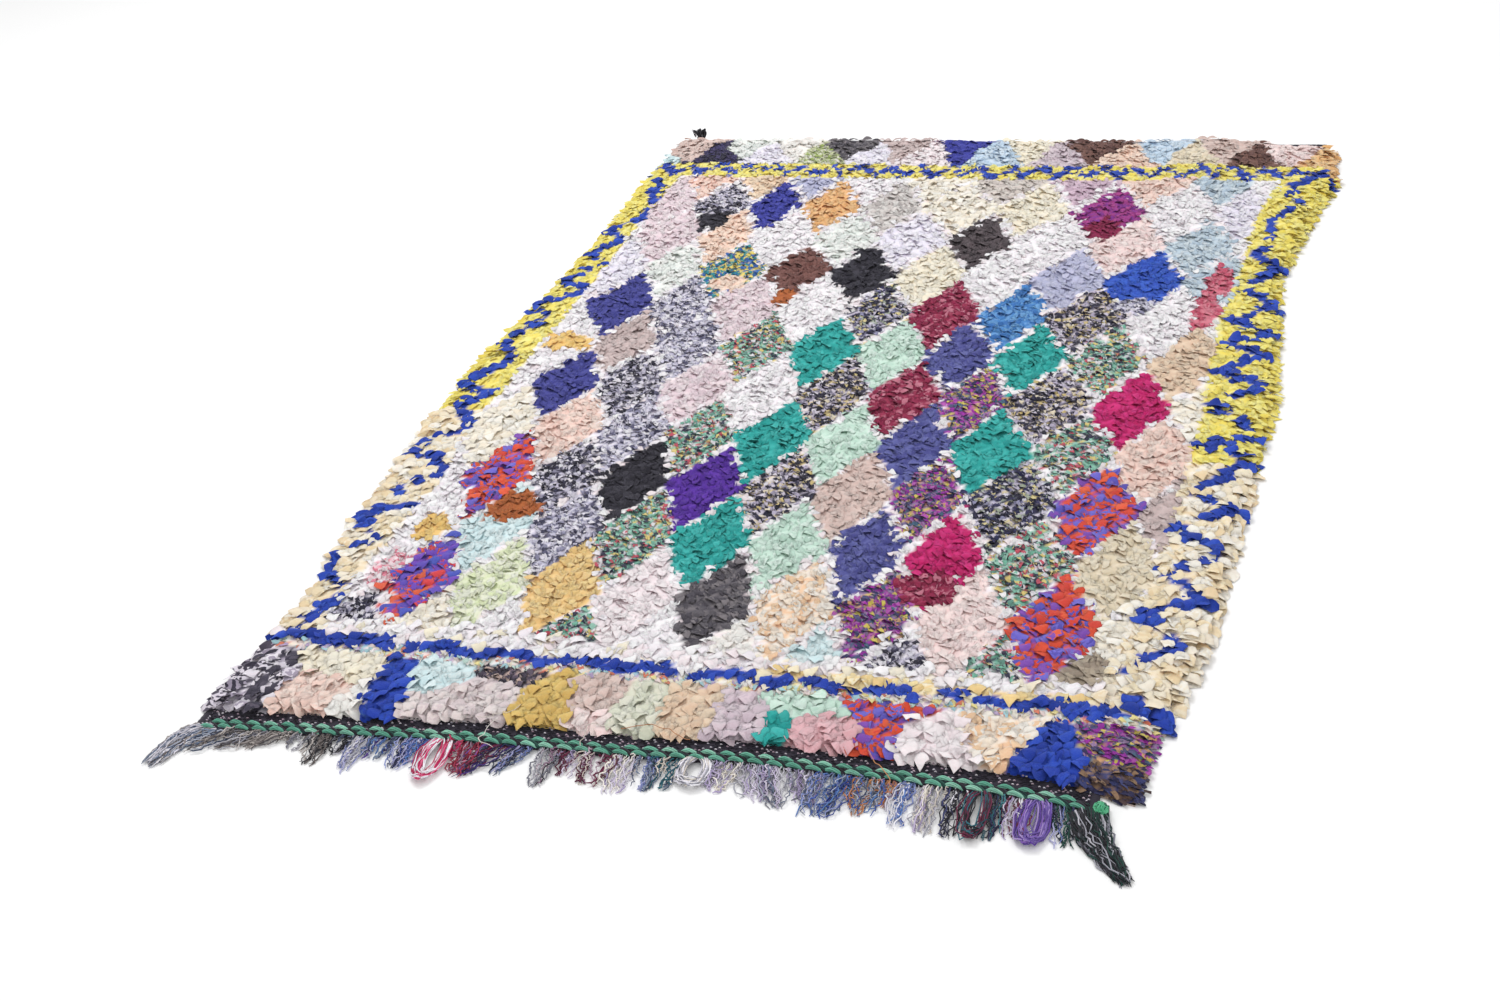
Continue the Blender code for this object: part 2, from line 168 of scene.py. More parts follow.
# cut: how the rag is cut; shades: its colours as the eye reads them, red, green, blue of 255
RAGS = {
    "white": {"cut": "strip", "shades": [(246, 240, 244), (241, 232, 238), (248, 245, 246)]},
    "scrap": {"cut": "strip", "printed": 0, "shades": [(247, 241, 245), (242, 233, 240), (249, 246, 247)]},
    "pale_pink": {"cut": "strip", "shades": [(242, 226, 230), (246, 234, 236)]},
    "pale_lilac": {"cut": "strip", "shades": [(232, 226, 242), (240, 234, 244)]},
    "pale_green": {"cut": "strip", "shades": [(226, 232, 226), (236, 236, 232)]},
    "pale_aqua": {"cut": "strip", "shades": [(204, 228, 232), (216, 234, 236)]},
    "pale_sky": {"cut": "strip", "shades": [(186, 208, 230), (204, 220, 236)]},
    "pale_rose": {"cut": "strip", "shades": [(240, 212, 210), (244, 222, 218)]},
    "cream": {"cut": "petal", "shades": [(243, 232, 214), (239, 226, 206), (246, 238, 226)]},
    "cream_white": {"cut": "strip", "shades": [(242, 234, 228), (245, 240, 234)]},
    "cream_yellow": {"cut": "strip", "shades": [(244, 234, 214), (240, 228, 204)]},
    "beige": {"cut": "petal", "shades": [(238, 218, 184), (232, 208, 170), (242, 226, 200)]},
    "peach": {"cut": "strip", "shades": [(244, 214, 196), (240, 204, 184)]},
    "peach_tan": {"cut": "strip", "shades": [(240, 212, 184), (234, 202, 172)]},
    "peach_print": {"cut": "strip", "shades": [(243, 222, 202), (238, 196, 160), (243, 232, 220)]},
    "salmon": {"cut": "strip", "shades": [(240, 194, 178), (244, 210, 196)]},
    "pink_peach": {"cut": "strip", "shades": [(240, 212, 200), (236, 200, 188)]},
    "dusty_pink": {"cut": "strip", "shades": [(232, 214, 218), (224, 202, 210)]},
    "dusty_mauve": {"cut": "strip", "shades": [(212, 184, 200), (200, 172, 190)]},
    "rose_pink": {"cut": "petal", "shades": [(228, 180, 186), (220, 170, 176)]},
    "rose_beige": {"cut": "strip", "shades": [(216, 192, 184), (206, 180, 172)]},
    "grey_pink": {"cut": "petal", "shades": [(226, 212, 210), (216, 200, 202)]},
    "mauve_grey": {"cut": "strip", "shades": [(212, 194, 202), (202, 184, 194)]},
    "taupe": {"cut": "strip", "shades": [(204, 184, 182), (192, 172, 170)]},
    "grey_beige": {"cut": "strip", "shades": [(216, 206, 198), (204, 192, 186)]},
    "dark_taupe": {"cut": "strip", "shades": [(172, 158, 140), (152, 138, 124)]},
    "sand": {"cut": "strip", "shades": [(230, 216, 192), (220, 204, 176)]},
    "sage_cream": {"cut": "strip", "shades": [(210, 212, 192), (224, 222, 204)]},
    "tan_peach": {"cut": "strip", "shades": [(228, 202, 176), (220, 190, 164)]},
    "tan_orange": {"cut": "strip", "shades": [(226, 176, 120), (234, 194, 146)]},
    "orange_tan": {"cut": "strip", "shades": [(232, 180, 128), (224, 166, 110)]},
    "orange_gold": {"cut": "strip", "shades": [(238, 196, 122), (230, 184, 108)]},
    "golden": {"cut": "strip", "shades": [(218, 172, 92), (206, 160, 84)]},
    "golden_tan": {"cut": "strip", "shades": [(238, 202, 142), (230, 190, 126)]},
    "mustard": {"cut": "strip", "shades": [(220, 186, 112), (208, 172, 98)]},
    "yellow": {"cut": "strip", "shades": [(242, 224, 116), (236, 214, 98), (245, 232, 138)]},
    "lime_cream": {"cut": "strip", "shades": [(214, 224, 180), (232, 234, 212), (226, 230, 200)]},
    "moss_fleck": {"cut": "snip", "shades": [(150, 168, 96), (224, 220, 206), (196, 200, 160)]},
    "mint": {"cut": "strip", "shades": [(196, 224, 208), (184, 214, 198), (208, 232, 218)]},
    "teal": {"cut": "strip", "shades": [(40, 160, 154), (30, 146, 142), (60, 174, 168)]},
    "lavender_grey": {"cut": "strip", "shades": [(190, 190, 218), (176, 178, 208)]},
    "grey_blue": {"cut": "strip", "shades": [(190, 206, 218), (174, 192, 208), (204, 216, 224)]},
    "sky_cobalt": {"cut": "strip", "shades": [(70, 128, 196), (54, 108, 176), (104, 156, 212)]},
    "bright_blue": {"cut": "strip", "shades": [(54, 92, 196), (44, 78, 180)]},
    "royal_blue": {"cut": "petal", "shades": [(38, 66, 168), (44, 76, 182), (30, 56, 148)]},
    "slate_indigo": {"cut": "strip", "shades": [(82, 84, 148), (68, 70, 134), (94, 98, 160)]},
    "navy_indigo": {"cut": "strip", "shades": [(72, 74, 150), (58, 60, 132)]},
    "indigo": {"cut": "strip", "shades": [(64, 68, 160), (52, 56, 144)]},
    "purple": {"cut": "strip", "shades": [(88, 46, 158), (76, 38, 142)]},
    "black": {"cut": "strip", "shades": [(42, 40, 50), (34, 32, 42), (54, 52, 62)]},
    "charcoal_brown": {"cut": "strip", "shades": [(86, 76, 80), (72, 64, 68)]},
    "charcoal": {"cut": "strip", "shades": [(92, 88, 94), (74, 70, 78), (120, 114, 118)]},
    "brown": {"cut": "strip", "shades": [(120, 80, 74), (104, 68, 64)]},
    "dark_indigo": {"cut": "strip", "shades": [(54, 48, 78), (62, 56, 96), (44, 42, 58)]},
    "dark_brown": {"cut": "strip", "shades": [(98, 70, 66), (116, 84, 76)]},
    "rust": {"cut": "strip", "shades": [(176, 98, 52), (160, 86, 46)]},
    "magenta": {"cut": "strip", "shades": [(192, 26, 102), (176, 18, 90), (206, 44, 118)]},
    "wine": {"cut": "strip", "shades": [(136, 34, 74), (118, 28, 62)]},
    "crimson_rose": {"cut": "strip", "shades": [(196, 84, 108), (210, 120, 136)]},
    "wine_fleck": {
        "cut": "strip", "printed": 0.5,
        "shades": [(140, 34, 70), (124, 26, 60), (190, 112, 132), (152, 50, 80), (132, 30, 66)],
    },
    "crimson_purple": {"cut": "strip", "shades": [(150, 54, 128), (126, 48, 136), (162, 64, 132)]},
    "print": {
        "cut": "petal", "printed": 0.55,
        "shades": [(216, 78, 54), (222, 92, 64), (112, 104, 200), (92, 84, 176), (206, 70, 58), (126, 78, 172)],
    },
    "print_strip": {
        "cut": "petal", "printed": 0.55,
        "shades": [(204, 66, 72), (112, 74, 180), (98, 80, 178), (222, 98, 72), (78, 88, 180)],
    },
    "royal_bits": {"cut": "strip", "printed": 0, "shades": [(44, 72, 176), (52, 84, 190), (38, 60, 156)]},
    "blue_print": {"cut": "snip", "shades": [(60, 100, 170), (232, 208, 110), (50, 140, 150)]},
    "magenta_multi": {
        "cut": "snip", "printed": 0.7,
        "shades": [
            (160, 50, 162), (142, 44, 150), (178, 88, 172), (84, 82, 122), (72, 98, 122), (208, 188, 92),
            (198, 152, 112), (150, 122, 162), (60, 56, 96),
        ],
    },
    "green_multi": {
        "cut": "snip",
        "shades": [
            (112, 172, 150), (132, 190, 168), (152, 200, 182), (54, 60, 76), (62, 62, 80), (196, 86, 102),
            (222, 198, 124), (226, 222, 226), (98, 142, 130), (216, 212, 220),
        ],
    },
    "dark_multi": {
        "cut": "snip", "printed": 0.5,
        "shades": [
            (44, 42, 56), (56, 54, 76), (46, 44, 62), (222, 214, 226), (204, 194, 212), (228, 212, 186),
            (206, 184, 128), (184, 174, 198), (40, 38, 52), (44, 42, 56), (150, 142, 164),
        ],
    },
    "navy_multi": {
        "cut": "snip", "printed": 0.5,
        "shades": [
            (40, 42, 76), (44, 42, 60), (214, 208, 224), (222, 204, 146), (56, 54, 88), (196, 188, 208),
            (44, 42, 60), (160, 168, 150), (40, 40, 62), (146, 144, 176),
        ],
    },
    "dark_speckle": {
        "cut": "snip", "printed": 0.4,
        "shades": [
            (46, 44, 58), (58, 56, 78), (218, 212, 226), (200, 194, 214), (42, 40, 54), (232, 226, 234),
            (150, 146, 168),
        ],
    },
    "grey_speckle": {
        "cut": "snip", "printed": 0.4,
        "shades": [
            (88, 86, 112), (208, 204, 222), (230, 224, 236), (64, 62, 84), (218, 212, 228), (194, 190, 212),
            (236, 232, 240), (140, 138, 164),
        ],
    },
    "mauve_speckle": {
        "cut": "strip", "printed": 0.9,
        "shades": [(86, 80, 94), (214, 206, 218), (60, 56, 70), (226, 218, 228), (66, 62, 76), (160, 150, 168)],
    },
    "taupe_speckle": {"cut": "strip", "shades": [(206, 198, 194), (222, 216, 212), (182, 174, 172)]},
    "dark_fleck": {"cut": "snip", "shades": [(70, 62, 76), (104, 92, 108), (196, 170, 160), (52, 48, 60)]},
    "navy_brown": {"cut": "snip", "shades": [(52, 50, 84), (84, 66, 66), (66, 70, 116), (150, 120, 96)]},
    "confetti": {
        "cut": "snip", "printed": 0.1,
        "shades": [
            (224, 128, 104), (240, 220, 150), (194, 222, 210), (242, 236, 232), (240, 226, 204),
            (242, 232, 218), (184, 164, 200), (166, 206, 216), (244, 238, 238), (238, 214, 210),
        ],
    },
    "orange_row": {"cut": "strip", "shades": [(240, 212, 158), (236, 202, 142), (243, 228, 196)]},
    "pink_fleck": {"cut": "snip", "shades": [(230, 130, 150), (240, 226, 230), (238, 212, 218)]},
}

# row, first: a row of lozenges and the column of its leftmost one, in pitches from LOZENGE_ORIGIN;
# rags: from left to right
FIELD = [
    {"row": 4.5, "first": -4.5, "rags": (
        "salmon peach_tan lavender_grey white cream grey_beige dusty_mauve pink_peach grey_blue white"
    )},
    {"row": 4.0, "first": -5, "rags": (
        "dusty_pink dark_speckle indigo orange_tan taupe_speckle cream cream_yellow crimson_purple"
        " white pale_lilac cream_white"
    )},
    {"row": 3.5, "first": -4.5, "rags": (
        "dusty_pink peach white pale_green pale_lilac charcoal_brown white pale_rose grey_blue white"
    )},
    {"row": 3.0, "first": -5, "rags": (
        "pale_lilac pale_green blue_print brown black cream_yellow white lavender_grey bright_blue"
        " grey_blue cream"
    )},
    {"row": 2.5, "first": -4.5, "rags": (
        "navy_indigo grey_speckle dusty_pink white navy_multi wine_fleck sky_cobalt dark_multi white"
        " cream_white"
    )},
    {"row": 2.0, "first": -5, "rags": (
        "white taupe grey_speckle green_multi teal mint slate_indigo teal green_multi tan_peach"
        " cream"
    )},
    {"row": 1.5, "first": -4.5, "rags": (
        "navy_indigo dark_speckle dusty_pink white dark_multi wine_fleck magenta_multi dark_multi"
        " magenta cream"
    )},
    {"row": 1.0, "first": -5, "rags": (
        "cream pink_peach grey_speckle green_multi teal mint slate_indigo teal green_multi pink_peach"
        " cream"
    )},
    {"row": 0.5, "first": -4.5, "rags": (
        "print dark_speckle black purple dark_multi rose_beige magenta_multi navy_multi print taupe"
    )},
    {"row": 0.0, "first": -5, "rags": (
        "scrap pale_aqua grey_speckle green_multi teal mint slate_indigo magenta green_multi"
        " sand cream"
    )},
    {"row": -0.5, "first": -4.5, "rags": (
        "print_strip lime_cream golden_tan pale_pink charcoal peach_print magenta_multi pale_rose"
        " print cream"
    )},
    {"row": -1.0, "first": -5, "rags": (
        "dark_speckle cream white green_multi white cream_white pale_aqua dark_speckle green_multi"
        " dark_taupe cream"
    )},
]

# Small patches that break the field's order, centre and half size
FIELD_PATCHES = [
    {"rag": "orange_gold", "x": -0.570, "y": 0.050, "wide": 0.052, "tall": 0.034},
    {"rag": "orange_gold", "x": -0.543, "y": -0.595, "wide": 0.030, "tall": 0.040},
    {"rag": "rust", "x": -0.435, "y": -0.520, "wide": 0.040, "tall": 0.045},
    {"rag": "wine_fleck", "x": 0.268, "y": -0.655, "wide": 0.042, "tall": 0.046},
    {"rag": "peach", "x": -0.340, "y": 0.315, "wide": 0.040, "tall": 0.035},
    {"rag": "rust", "x": -0.212, "y": 0.270, "wide": 0.022, "tall": 0.040},
    {"rag": "crimson_rose", "x": 0.576, "y": 0.385, "wide": 0.022, "tall": 0.070},
    {"rag": "crimson_rose", "x": 0.558, "y": 0.270, "wide": 0.022, "tall": 0.090},
    {"rag": "wine", "x": 0.325, "y": 0.610, "wide": 0.034, "tall": 0.050},
    {"rag": "pink_fleck", "x": -0.565, "y": -0.715, "wide": 0.028, "tall": 0.050},
    {"rag": "black", "x": -0.470, "y": 0.605, "wide": 0.034, "tall": 0.045},
    {"rag": "black", "x": -0.100, "y": 0.470, "wide": 0.030, "tall": 0.030},
    {"rag": "grey_speckle", "x": 0.430, "y": 0.275, "wide": 0.035, "tall": 0.035},
]

# x, y: a patch's middle; wide, tall: its reach against its neighbours'
NEAR_PANEL = [
    {"rag": "mauve_speckle", "x": -0.630, "y": -1.030, "wide": 1.0, "tall": 1.5},
    {"rag": "cream_yellow", "x": -0.510, "y": -0.965, "wide": 1.2, "tall": 0.6},
    {"rag": "pink_peach", "x": -0.525, "y": -1.035, "wide": 1.1, "tall": 1.0},
    {"rag": "cream_white", "x": -0.466, "y": -1.050, "wide": 0.5, "tall": 0.8},
    {"rag": "royal_blue", "x": -0.415, "y": -1.010, "wide": 0.6, "tall": 1.4},
    {"rag": "pale_aqua", "x": -0.368, "y": -0.970, "wide": 0.9, "tall": 0.8},
    {"rag": "grey_pink", "x": -0.320, "y": -1.030, "wide": 1.2, "tall": 1.0},
    {"rag": "grey_pink", "x": -0.270, "y": -1.010, "wide": 0.9, "tall": 0.9},
    {"rag": "dark_fleck", "x": -0.250, "y": -0.945, "wide": 0.8, "tall": 0.5},
    {"rag": "mustard", "x": -0.182, "y": -1.010, "wide": 0.9, "tall": 1.2},
    {"rag": "rose_beige", "x": -0.115, "y": -0.965, "wide": 0.8, "tall": 1.2},
    {"rag": "pale_rose", "x": -0.105, "y": -1.035, "wide": 0.6, "tall": 0.8},
    {"rag": "sage_cream", "x": -0.050, "y": -0.990, "wide": 0.8, "tall": 1.3},
    {"rag": "tan_peach", "x": 0.022, "y": -0.990, "wide": 0.8, "tall": 1.3},
    {"rag": "mauve_grey", "x": 0.088, "y": -0.990, "wide": 0.8, "tall": 1.2},
    {"rag": "mint", "x": 0.165, "y": -0.950, "wide": 1.1, "tall": 0.7},
    {"rag": "teal", "x": 0.148, "y": -1.010, "wide": 0.35, "tall": 0.8},
    {"rag": "rose_pink", "x": 0.205, "y": -1.010, "wide": 0.9, "tall": 0.9},
    {"rag": "print", "x": 0.284, "y": -0.935, "wide": 1.2, "tall": 0.5},
    {"rag": "print", "x": 0.284, "y": -1.005, "wide": 0.45, "tall": 1.4},
    {"rag": "pale_pink", "x": 0.362, "y": -1.005, "wide": 1.0, "tall": 1.2},
    {"rag": "peach_print", "x": 0.432, "y": -0.965, "wide": 1.0, "tall": 1.0},
    {"rag": "royal_blue", "x": 0.508, "y": -1.010, "wide": 0.8, "tall": 1.2},
    {"rag": "magenta_multi", "x": 0.590, "y": -0.965, "wide": 1.1, "tall": 0.8},
    {"rag": "navy_brown", "x": 0.600, "y": -1.045, "wide": 1.0, "tall": 0.8},
]

# across: middle of a patch of the far panel; base: the end at which it is broad
FAR_PANEL = [
    {"rag": "rose_beige", "across": -0.640, "base": "far"},
    {"rag": "pale_aqua", "across": -0.715, "base": "field"},
    {"rag": "dark_indigo", "across": -0.578, "base": "field"},
    {"rag": "pale_green", "across": -0.505, "base": "far"},
    {"rag": "pale_lilac", "across": -0.465, "base": "field"},
    {"rag": "cream_white", "across": -0.395, "base": "far"},
    {"rag": "moss_fleck", "across": -0.335, "base": "field"},
    {"rag": "charcoal", "across": -0.282, "base": "far"},
    {"rag": "pale_lilac", "across": -0.222, "base": "field"},
    {"rag": "taupe", "across": -0.160, "base": "far"},
    {"rag": "pale_pink", "across": -0.100, "base": "field"},
    {"rag": "indigo", "across": -0.030, "base": "far"},
    {"rag": "pale_sky", "across": 0.048, "base": "field"},
    {"rag": "cream_yellow", "across": 0.115, "base": "far"},
    {"rag": "mauve_grey", "across": 0.185, "base": "field"},
    {"rag": "dark_brown", "across": 0.255, "base": "far"},
    {"rag": "peach", "across": 0.325, "base": "field"},
    {"rag": "pale_sky", "across": 0.392, "base": "far"},
    {"rag": "sand", "across": 0.452, "base": "field"},
    {"rag": "rose_beige", "across": 0.508, "base": "far"},
    {"rag": "dark_brown", "across": 0.590, "base": "field"},
    {"rag": "pale_rose", "across": 0.655, "base": "far"},
    {"rag": "tan_orange", "across": 0.742, "base": "field"},
]


# Chain: two rows of green stitches, a link long, over a dark core
CHAIN_LINK, CHAIN_ROW, CHAIN_SLANT, CHAIN_OVERLAP = 0.0260, 0.0050, 0.0015, 0.50
CHAIN_LOW, CHAIN_LIFT, CHAIN_PLY, CHAIN_STRANDS, CHAIN_YARN = 0.0052, 0.0056, 0.0021, 5, 0.0022
CORE_STRANDS, CORE_WIDE, CORE_TALL, CORE_MIDDLE, CORE_YARN, CORE_TWIST = 8, 0.0066, 0.0024, 0.0062, 0.0034, 0.05
CHAIN_END, CHAIN_END_DROP = 0.026, 0.005

BAND_TOP, STITCH_ROWS, STITCH_LONG, STITCH_PALE = 0.0042, 13, 0.0058, 0.30
FAR_BAND_LEFT, FAR_BAND_RIGHT, FAR_BAND_PROUD = -0.675, 0.718, 0.004

YARNS = {
    "grey_brown": [(150, 142, 140), (112, 104, 102), (186, 178, 174), (84, 80, 84)],
    "grey": [(160, 160, 170), (190, 188, 196), (120, 120, 132)],
    "grey_blue": [(120, 134, 158), (92, 106, 134), (176, 182, 198), (74, 84, 108)],
    "blue": [(66, 92, 170), (90, 126, 186), (50, 66, 140)],
    "blue_lilac": [(138, 148, 196), (170, 170, 208), (110, 124, 180)],
    "lilac": [(190, 178, 206), (212, 204, 222), (164, 150, 188)],
    "lilac_purple": [(142, 118, 186), (172, 148, 206), (112, 90, 164)],
    "purple": [(92, 60, 150), (74, 50, 130), (124, 90, 170)],
    "navy": [(44, 46, 82), (58, 62, 104), (36, 36, 60)],
    "magenta": [(206, 50, 110), (184, 32, 86), (226, 96, 140)],
    "crimson": [(150, 30, 62), (120, 26, 54), (176, 60, 84)],
    "mauve": [(170, 140, 160), (146, 114, 138), (196, 174, 188)],
    "wine": [(110, 40, 70), (92, 34, 60)],
    "cream": [(226, 218, 206), (210, 200, 190), (238, 232, 224)],
    "white": [(232, 230, 236), (216, 212, 222)],
    "orange": [(206, 142, 96), (190, 124, 84)],
    "teal": [(46, 104, 118), (36, 84, 98), (70, 130, 140)],
    "dark_green": [(26, 62, 56), (34, 78, 68), (20, 44, 44)],
    "bright_green": [(82, 172, 128), (100, 188, 144), (58, 144, 104)],
    "black": [(36, 35, 42), (48, 46, 54), (28, 27, 34)],
    "chain_light": [(146, 200, 178), (126, 186, 164)],
    "chain_green": [(108, 172, 150), (92, 158, 136)],
    "chain_dark": [(32, 66, 62), (28, 52, 54), (44, 84, 76)],
    "band_black": [(38, 35, 44), (50, 46, 58), (30, 28, 36)],
    "speck_pink": [(206, 184, 196), (190, 164, 180)],
    "speck_white": [(222, 216, 224), (204, 198, 210)],
}

FRINGE_SHORT, FRINGE_STEPS, FRINGE_KINK, KINK_TURN, LOOP_CRINKLE = 0.30, 17, 0.0014, 2.1, 0.0030

# x, wide: where a clump leaves the chain and its half width; tip: where it ends
FRINGE_CLUMPS = [
    {"x": -0.615, "wide": 0.028, "tip": (-0.662, -1.168), "count": 26, "yarns": "grey_brown grey_blue"},
    {"x": -0.575, "wide": 0.028, "tip": (-0.622, -1.158), "count": 28, "yarns": "grey_brown grey"},
    {"x": -0.535, "wide": 0.026, "tip": (-0.572, -1.146), "count": 26, "yarns": "grey_brown"},
    {"x": -0.500, "wide": 0.018, "tip": (-0.506, -1.140), "count": 18, "yarns": "grey_brown grey"},
    {"x": -0.474, "wide": 0.014, "tip": (-0.470, -1.164), "count": 20, "yarns": "grey_brown black"},
    {"x": -0.436, "wide": 0.016, "tip": (-0.440, -1.140), "count": 14, "yarns": "grey black grey_blue"},
    {"x": -0.410, "wide": 0.014, "tip": (-0.416, -1.170), "count": 22, "yarns": "grey blue_lilac white"},
    {"x": -0.378, "wide": 0.016, "tip": (-0.384, -1.140), "count": 20, "yarns": "purple blue grey_blue"},
    {"x": -0.350, "wide": 0.014, "tip": (-0.344, -1.156), "count": 18, "yarns": "blue_lilac navy"},
    {"x": -0.322, "wide": 0.018, "tip": (-0.330, -1.146), "count": 22, "yarns": "blue_lilac blue lilac"},
    {"x": -0.292, "wide": 0.016, "tip": (-0.296, -1.176), "count": 22, "yarns": "magenta magenta white",
     "loop": True, "crinkle": 0.010},
    {"x": -0.262, "wide": 0.020, "tip": (-0.262, -1.150), "count": 28, "yarns": "crimson magenta mauve",
     "crinkle": 0.011},
    {"x": -0.212, "wide": 0.024, "tip": (-0.246, -1.152), "count": 24, "yarns": "purple navy wine"},
    {"x": -0.178, "wide": 0.016, "tip": (-0.200, -1.140), "count": 16, "yarns": "navy grey_blue blue_lilac"},
    {"x": -0.142, "wide": 0.014, "tip": (-0.138, -1.156), "count": 16, "yarns": "grey mauve black",
     "gather": 0.25},
    {"x": -0.108, "wide": 0.018, "tip": (-0.110, -1.130), "count": 18, "yarns": "mauve wine lilac"},
    {"x": -0.070, "wide": 0.022, "tip": (-0.066, -1.142), "count": 26, "yarns": "mauve wine cream",
     "crinkle": 0.010},
    {"x": -0.032, "wide": 0.018, "tip": (-0.030, -1.152), "count": 26, "yarns": "lilac white cream"},
    {"x": -0.004, "wide": 0.016, "tip": (0.000, -1.140), "count": 20, "yarns": "grey_blue blue_lilac"},
    {"x": 0.030, "wide": 0.018, "tip": (0.026, -1.134), "count": 22, "yarns": "cream teal grey_blue"},
    {"x": 0.064, "wide": 0.018, "tip": (0.064, -1.130), "count": 24, "yarns": "cream white grey", "loop": True,
     "crinkle": 0.010},
    {"x": 0.098, "wide": 0.018, "tip": (0.100, -1.126), "count": 24, "yarns": "cream grey lilac",
     "crinkle": 0.010},
    {"x": 0.134, "wide": 0.022, "tip": (0.150, -1.134), "count": 26, "yarns": "lilac grey"},
    {"x": 0.168, "wide": 0.024, "tip": (0.188, -1.144), "count": 28, "yarns": "lilac grey grey_blue"},
    {"x": 0.206, "wide": 0.020, "tip": (0.214, -1.132), "count": 22, "yarns": "grey lilac"},
    {"x": 0.250, "wide": 0.024, "tip": (0.240, -1.150), "count": 40, "yarns": "blue grey_blue blue_lilac",
     "crinkle": 0.012},
    {"x": 0.286, "wide": 0.022, "tip": (0.290, -1.138), "count": 34, "yarns": "grey_blue blue orange grey",
     "crinkle": 0.010},
    {"x": 0.312, "wide": 0.014, "tip": (0.314, -1.124), "count": 16, "yarns": "grey mauve orange"},
    {"x": 0.346, "wide": 0.014, "tip": (0.344, -1.158), "count": 22, "yarns": "blue_lilac white blue"},
    {"x": 0.376, "wide": 0.014, "tip": (0.376, -1.162), "count": 22, "yarns": "cream grey lilac"},
    {"x": 0.404, "wide": 0.011, "tip": (0.406, -1.164), "count": 18, "yarns": "black navy white"},
    {"x": 0.430, "wide": 0.013, "tip": (0.434, -1.166), "count": 24, "yarns": "black wine teal",
     "loop": True},
    {"x": 0.456, "wide": 0.011, "tip": (0.458, -1.158), "count": 18, "yarns": "teal navy black"},
    {"x": 0.482, "wide": 0.013, "tip": (0.484, -1.150), "count": 20, "yarns": "wine white lilac"},
    {"x": 0.508, "wide": 0.014, "tip": (0.508, -1.166), "count": 26, "yarns": "lilac_purple lilac_purple purple",
     "loop": True},
    {"x": 0.538, "wide": 0.014, "tip": (0.548, -1.156), "count": 22, "yarns": "dark_green navy blue_lilac"},
]

TASSELS = {
    "tassel_left": {
        "seed": 3, "head": (-0.640, -1.112, 0.005), "middle": (-0.680, -1.122, 0.004),
        "tip": (-0.694, -1.202, 0.0015), "head_half": 0.012, "half": 0.021, "tip_half": 0.011,
        "height": 0.008, "count": 120, "crinkle": 0.006,
        "yarns": "grey_blue grey_brown grey white",
    },
    "tassel_right": {
        "seed": 6, "head": (0.566, -1.088, 0.005), "middle": (0.578, -1.138, 0.004),
        "tip": (0.633, -1.206, 0.0015), "head_half": 0.029, "half": 0.019, "tip_half": 0.007,
        "height": 0.013, "count": 190, "crinkle": 0.008,
        "yarns": "dark_green dark_green black black black grey",
        "knot": 34, "knot_at": (0.583, -1.087, 0.0090), "knot_radius": 0.0090,
        "knot_yarns": "bright_green bright_green dark_green",
    },
}

TUFT = {"at": (-0.652, 1.083, 0.012), "loops": 12, "knot": 16, "knot_below": 0.004, "knot_radius": 0.0075}

LOOSE_THREADS = [
    {"x": -0.262, "by": (0.03, -0.01, 0.004), "to": (0.055, 0.030, 0), "yarns": "cream"},
    {"x": -0.232, "by": (-0.02, -0.03, 0.002), "to": (0.01, -0.050, -0.012), "yarns": "cream mauve"},
    {"x": -0.070, "by": (-0.05, 0.01, 0.004), "to": (-0.03, -0.035, -0.010), "yarns": "cream"},
    {"x": -0.055, "by": (0.06, 0.02, 0.004), "to": (0.10, -0.005, -0.004), "yarns": "orange cream"},
    {"x": 0.280, "by": (0.02, -0.03, 0.002), "to": (0.05, -0.060, -0.014), "yarns": "orange"},
]


def linear(shade):
    """A colour of 0 to 255 as the eye reads it, as light."""
    return np.array([((c / 255 + 0.055) / 1.055) ** 2.4 if c > 10 else c / 3295 for c in shade])


class Tree:
    """A node tree whose nodes are made by one method."""

    def __init__(self, tree):
        self.tree = tree

    def add(self, kind, settings=None, output=0, **inputs):
        """A node of a type, with its settings set first, then values or links by socket name."""
        node = self.tree.nodes.new(kind)
        for name, value in (settings or {}).items():
            setattr(node, name, value)
        for name, value in inputs.items():
            self.feed(node, name, value)
        return Signal(self, node.outputs[output]) if node.outputs else node

    def feed(self, node, name, value):
        """name is a socket's name with _ for a space, or its number after the letter n."""
        number = name[1:] if name[0] == "n" and name[1:].isdigit() else None
        key = int(number) if number else name.replace("_", " ")
        socket = node.inputs[key]
        if isinstance(value, Signal):
            self.tree.links.new(value.socket, socket)
        else:
            socket.default_value = value


class Signal:
    """A node's output. Arithmetic on it adds Math nodes."""

    def __init__(self, owner, socket):
        self.owner, self.socket = owner, socket

    def other(self, index):
        """Another output of the same node."""
        return Signal(self.owner, self.socket.node.outputs[index])

    def maths(self, operation, *values):
        inputs = {f"n{i}": value for i, value in enumerate(values)}
        return self.owner.add("ShaderNodeMath", {"operation": operation}, **inputs)

    def __add__(self, other):
        return self.maths("ADD", self, other)

    def __sub__(self, other):
        return self.maths("SUBTRACT", self, other)

    def __rsub__(self, other):
        return self.maths("SUBTRACT", other, self)

    def __mul__(self, other):
        return self.maths("MULTIPLY", self, other)

    __radd__, __rmul__ = __add__, __mul__


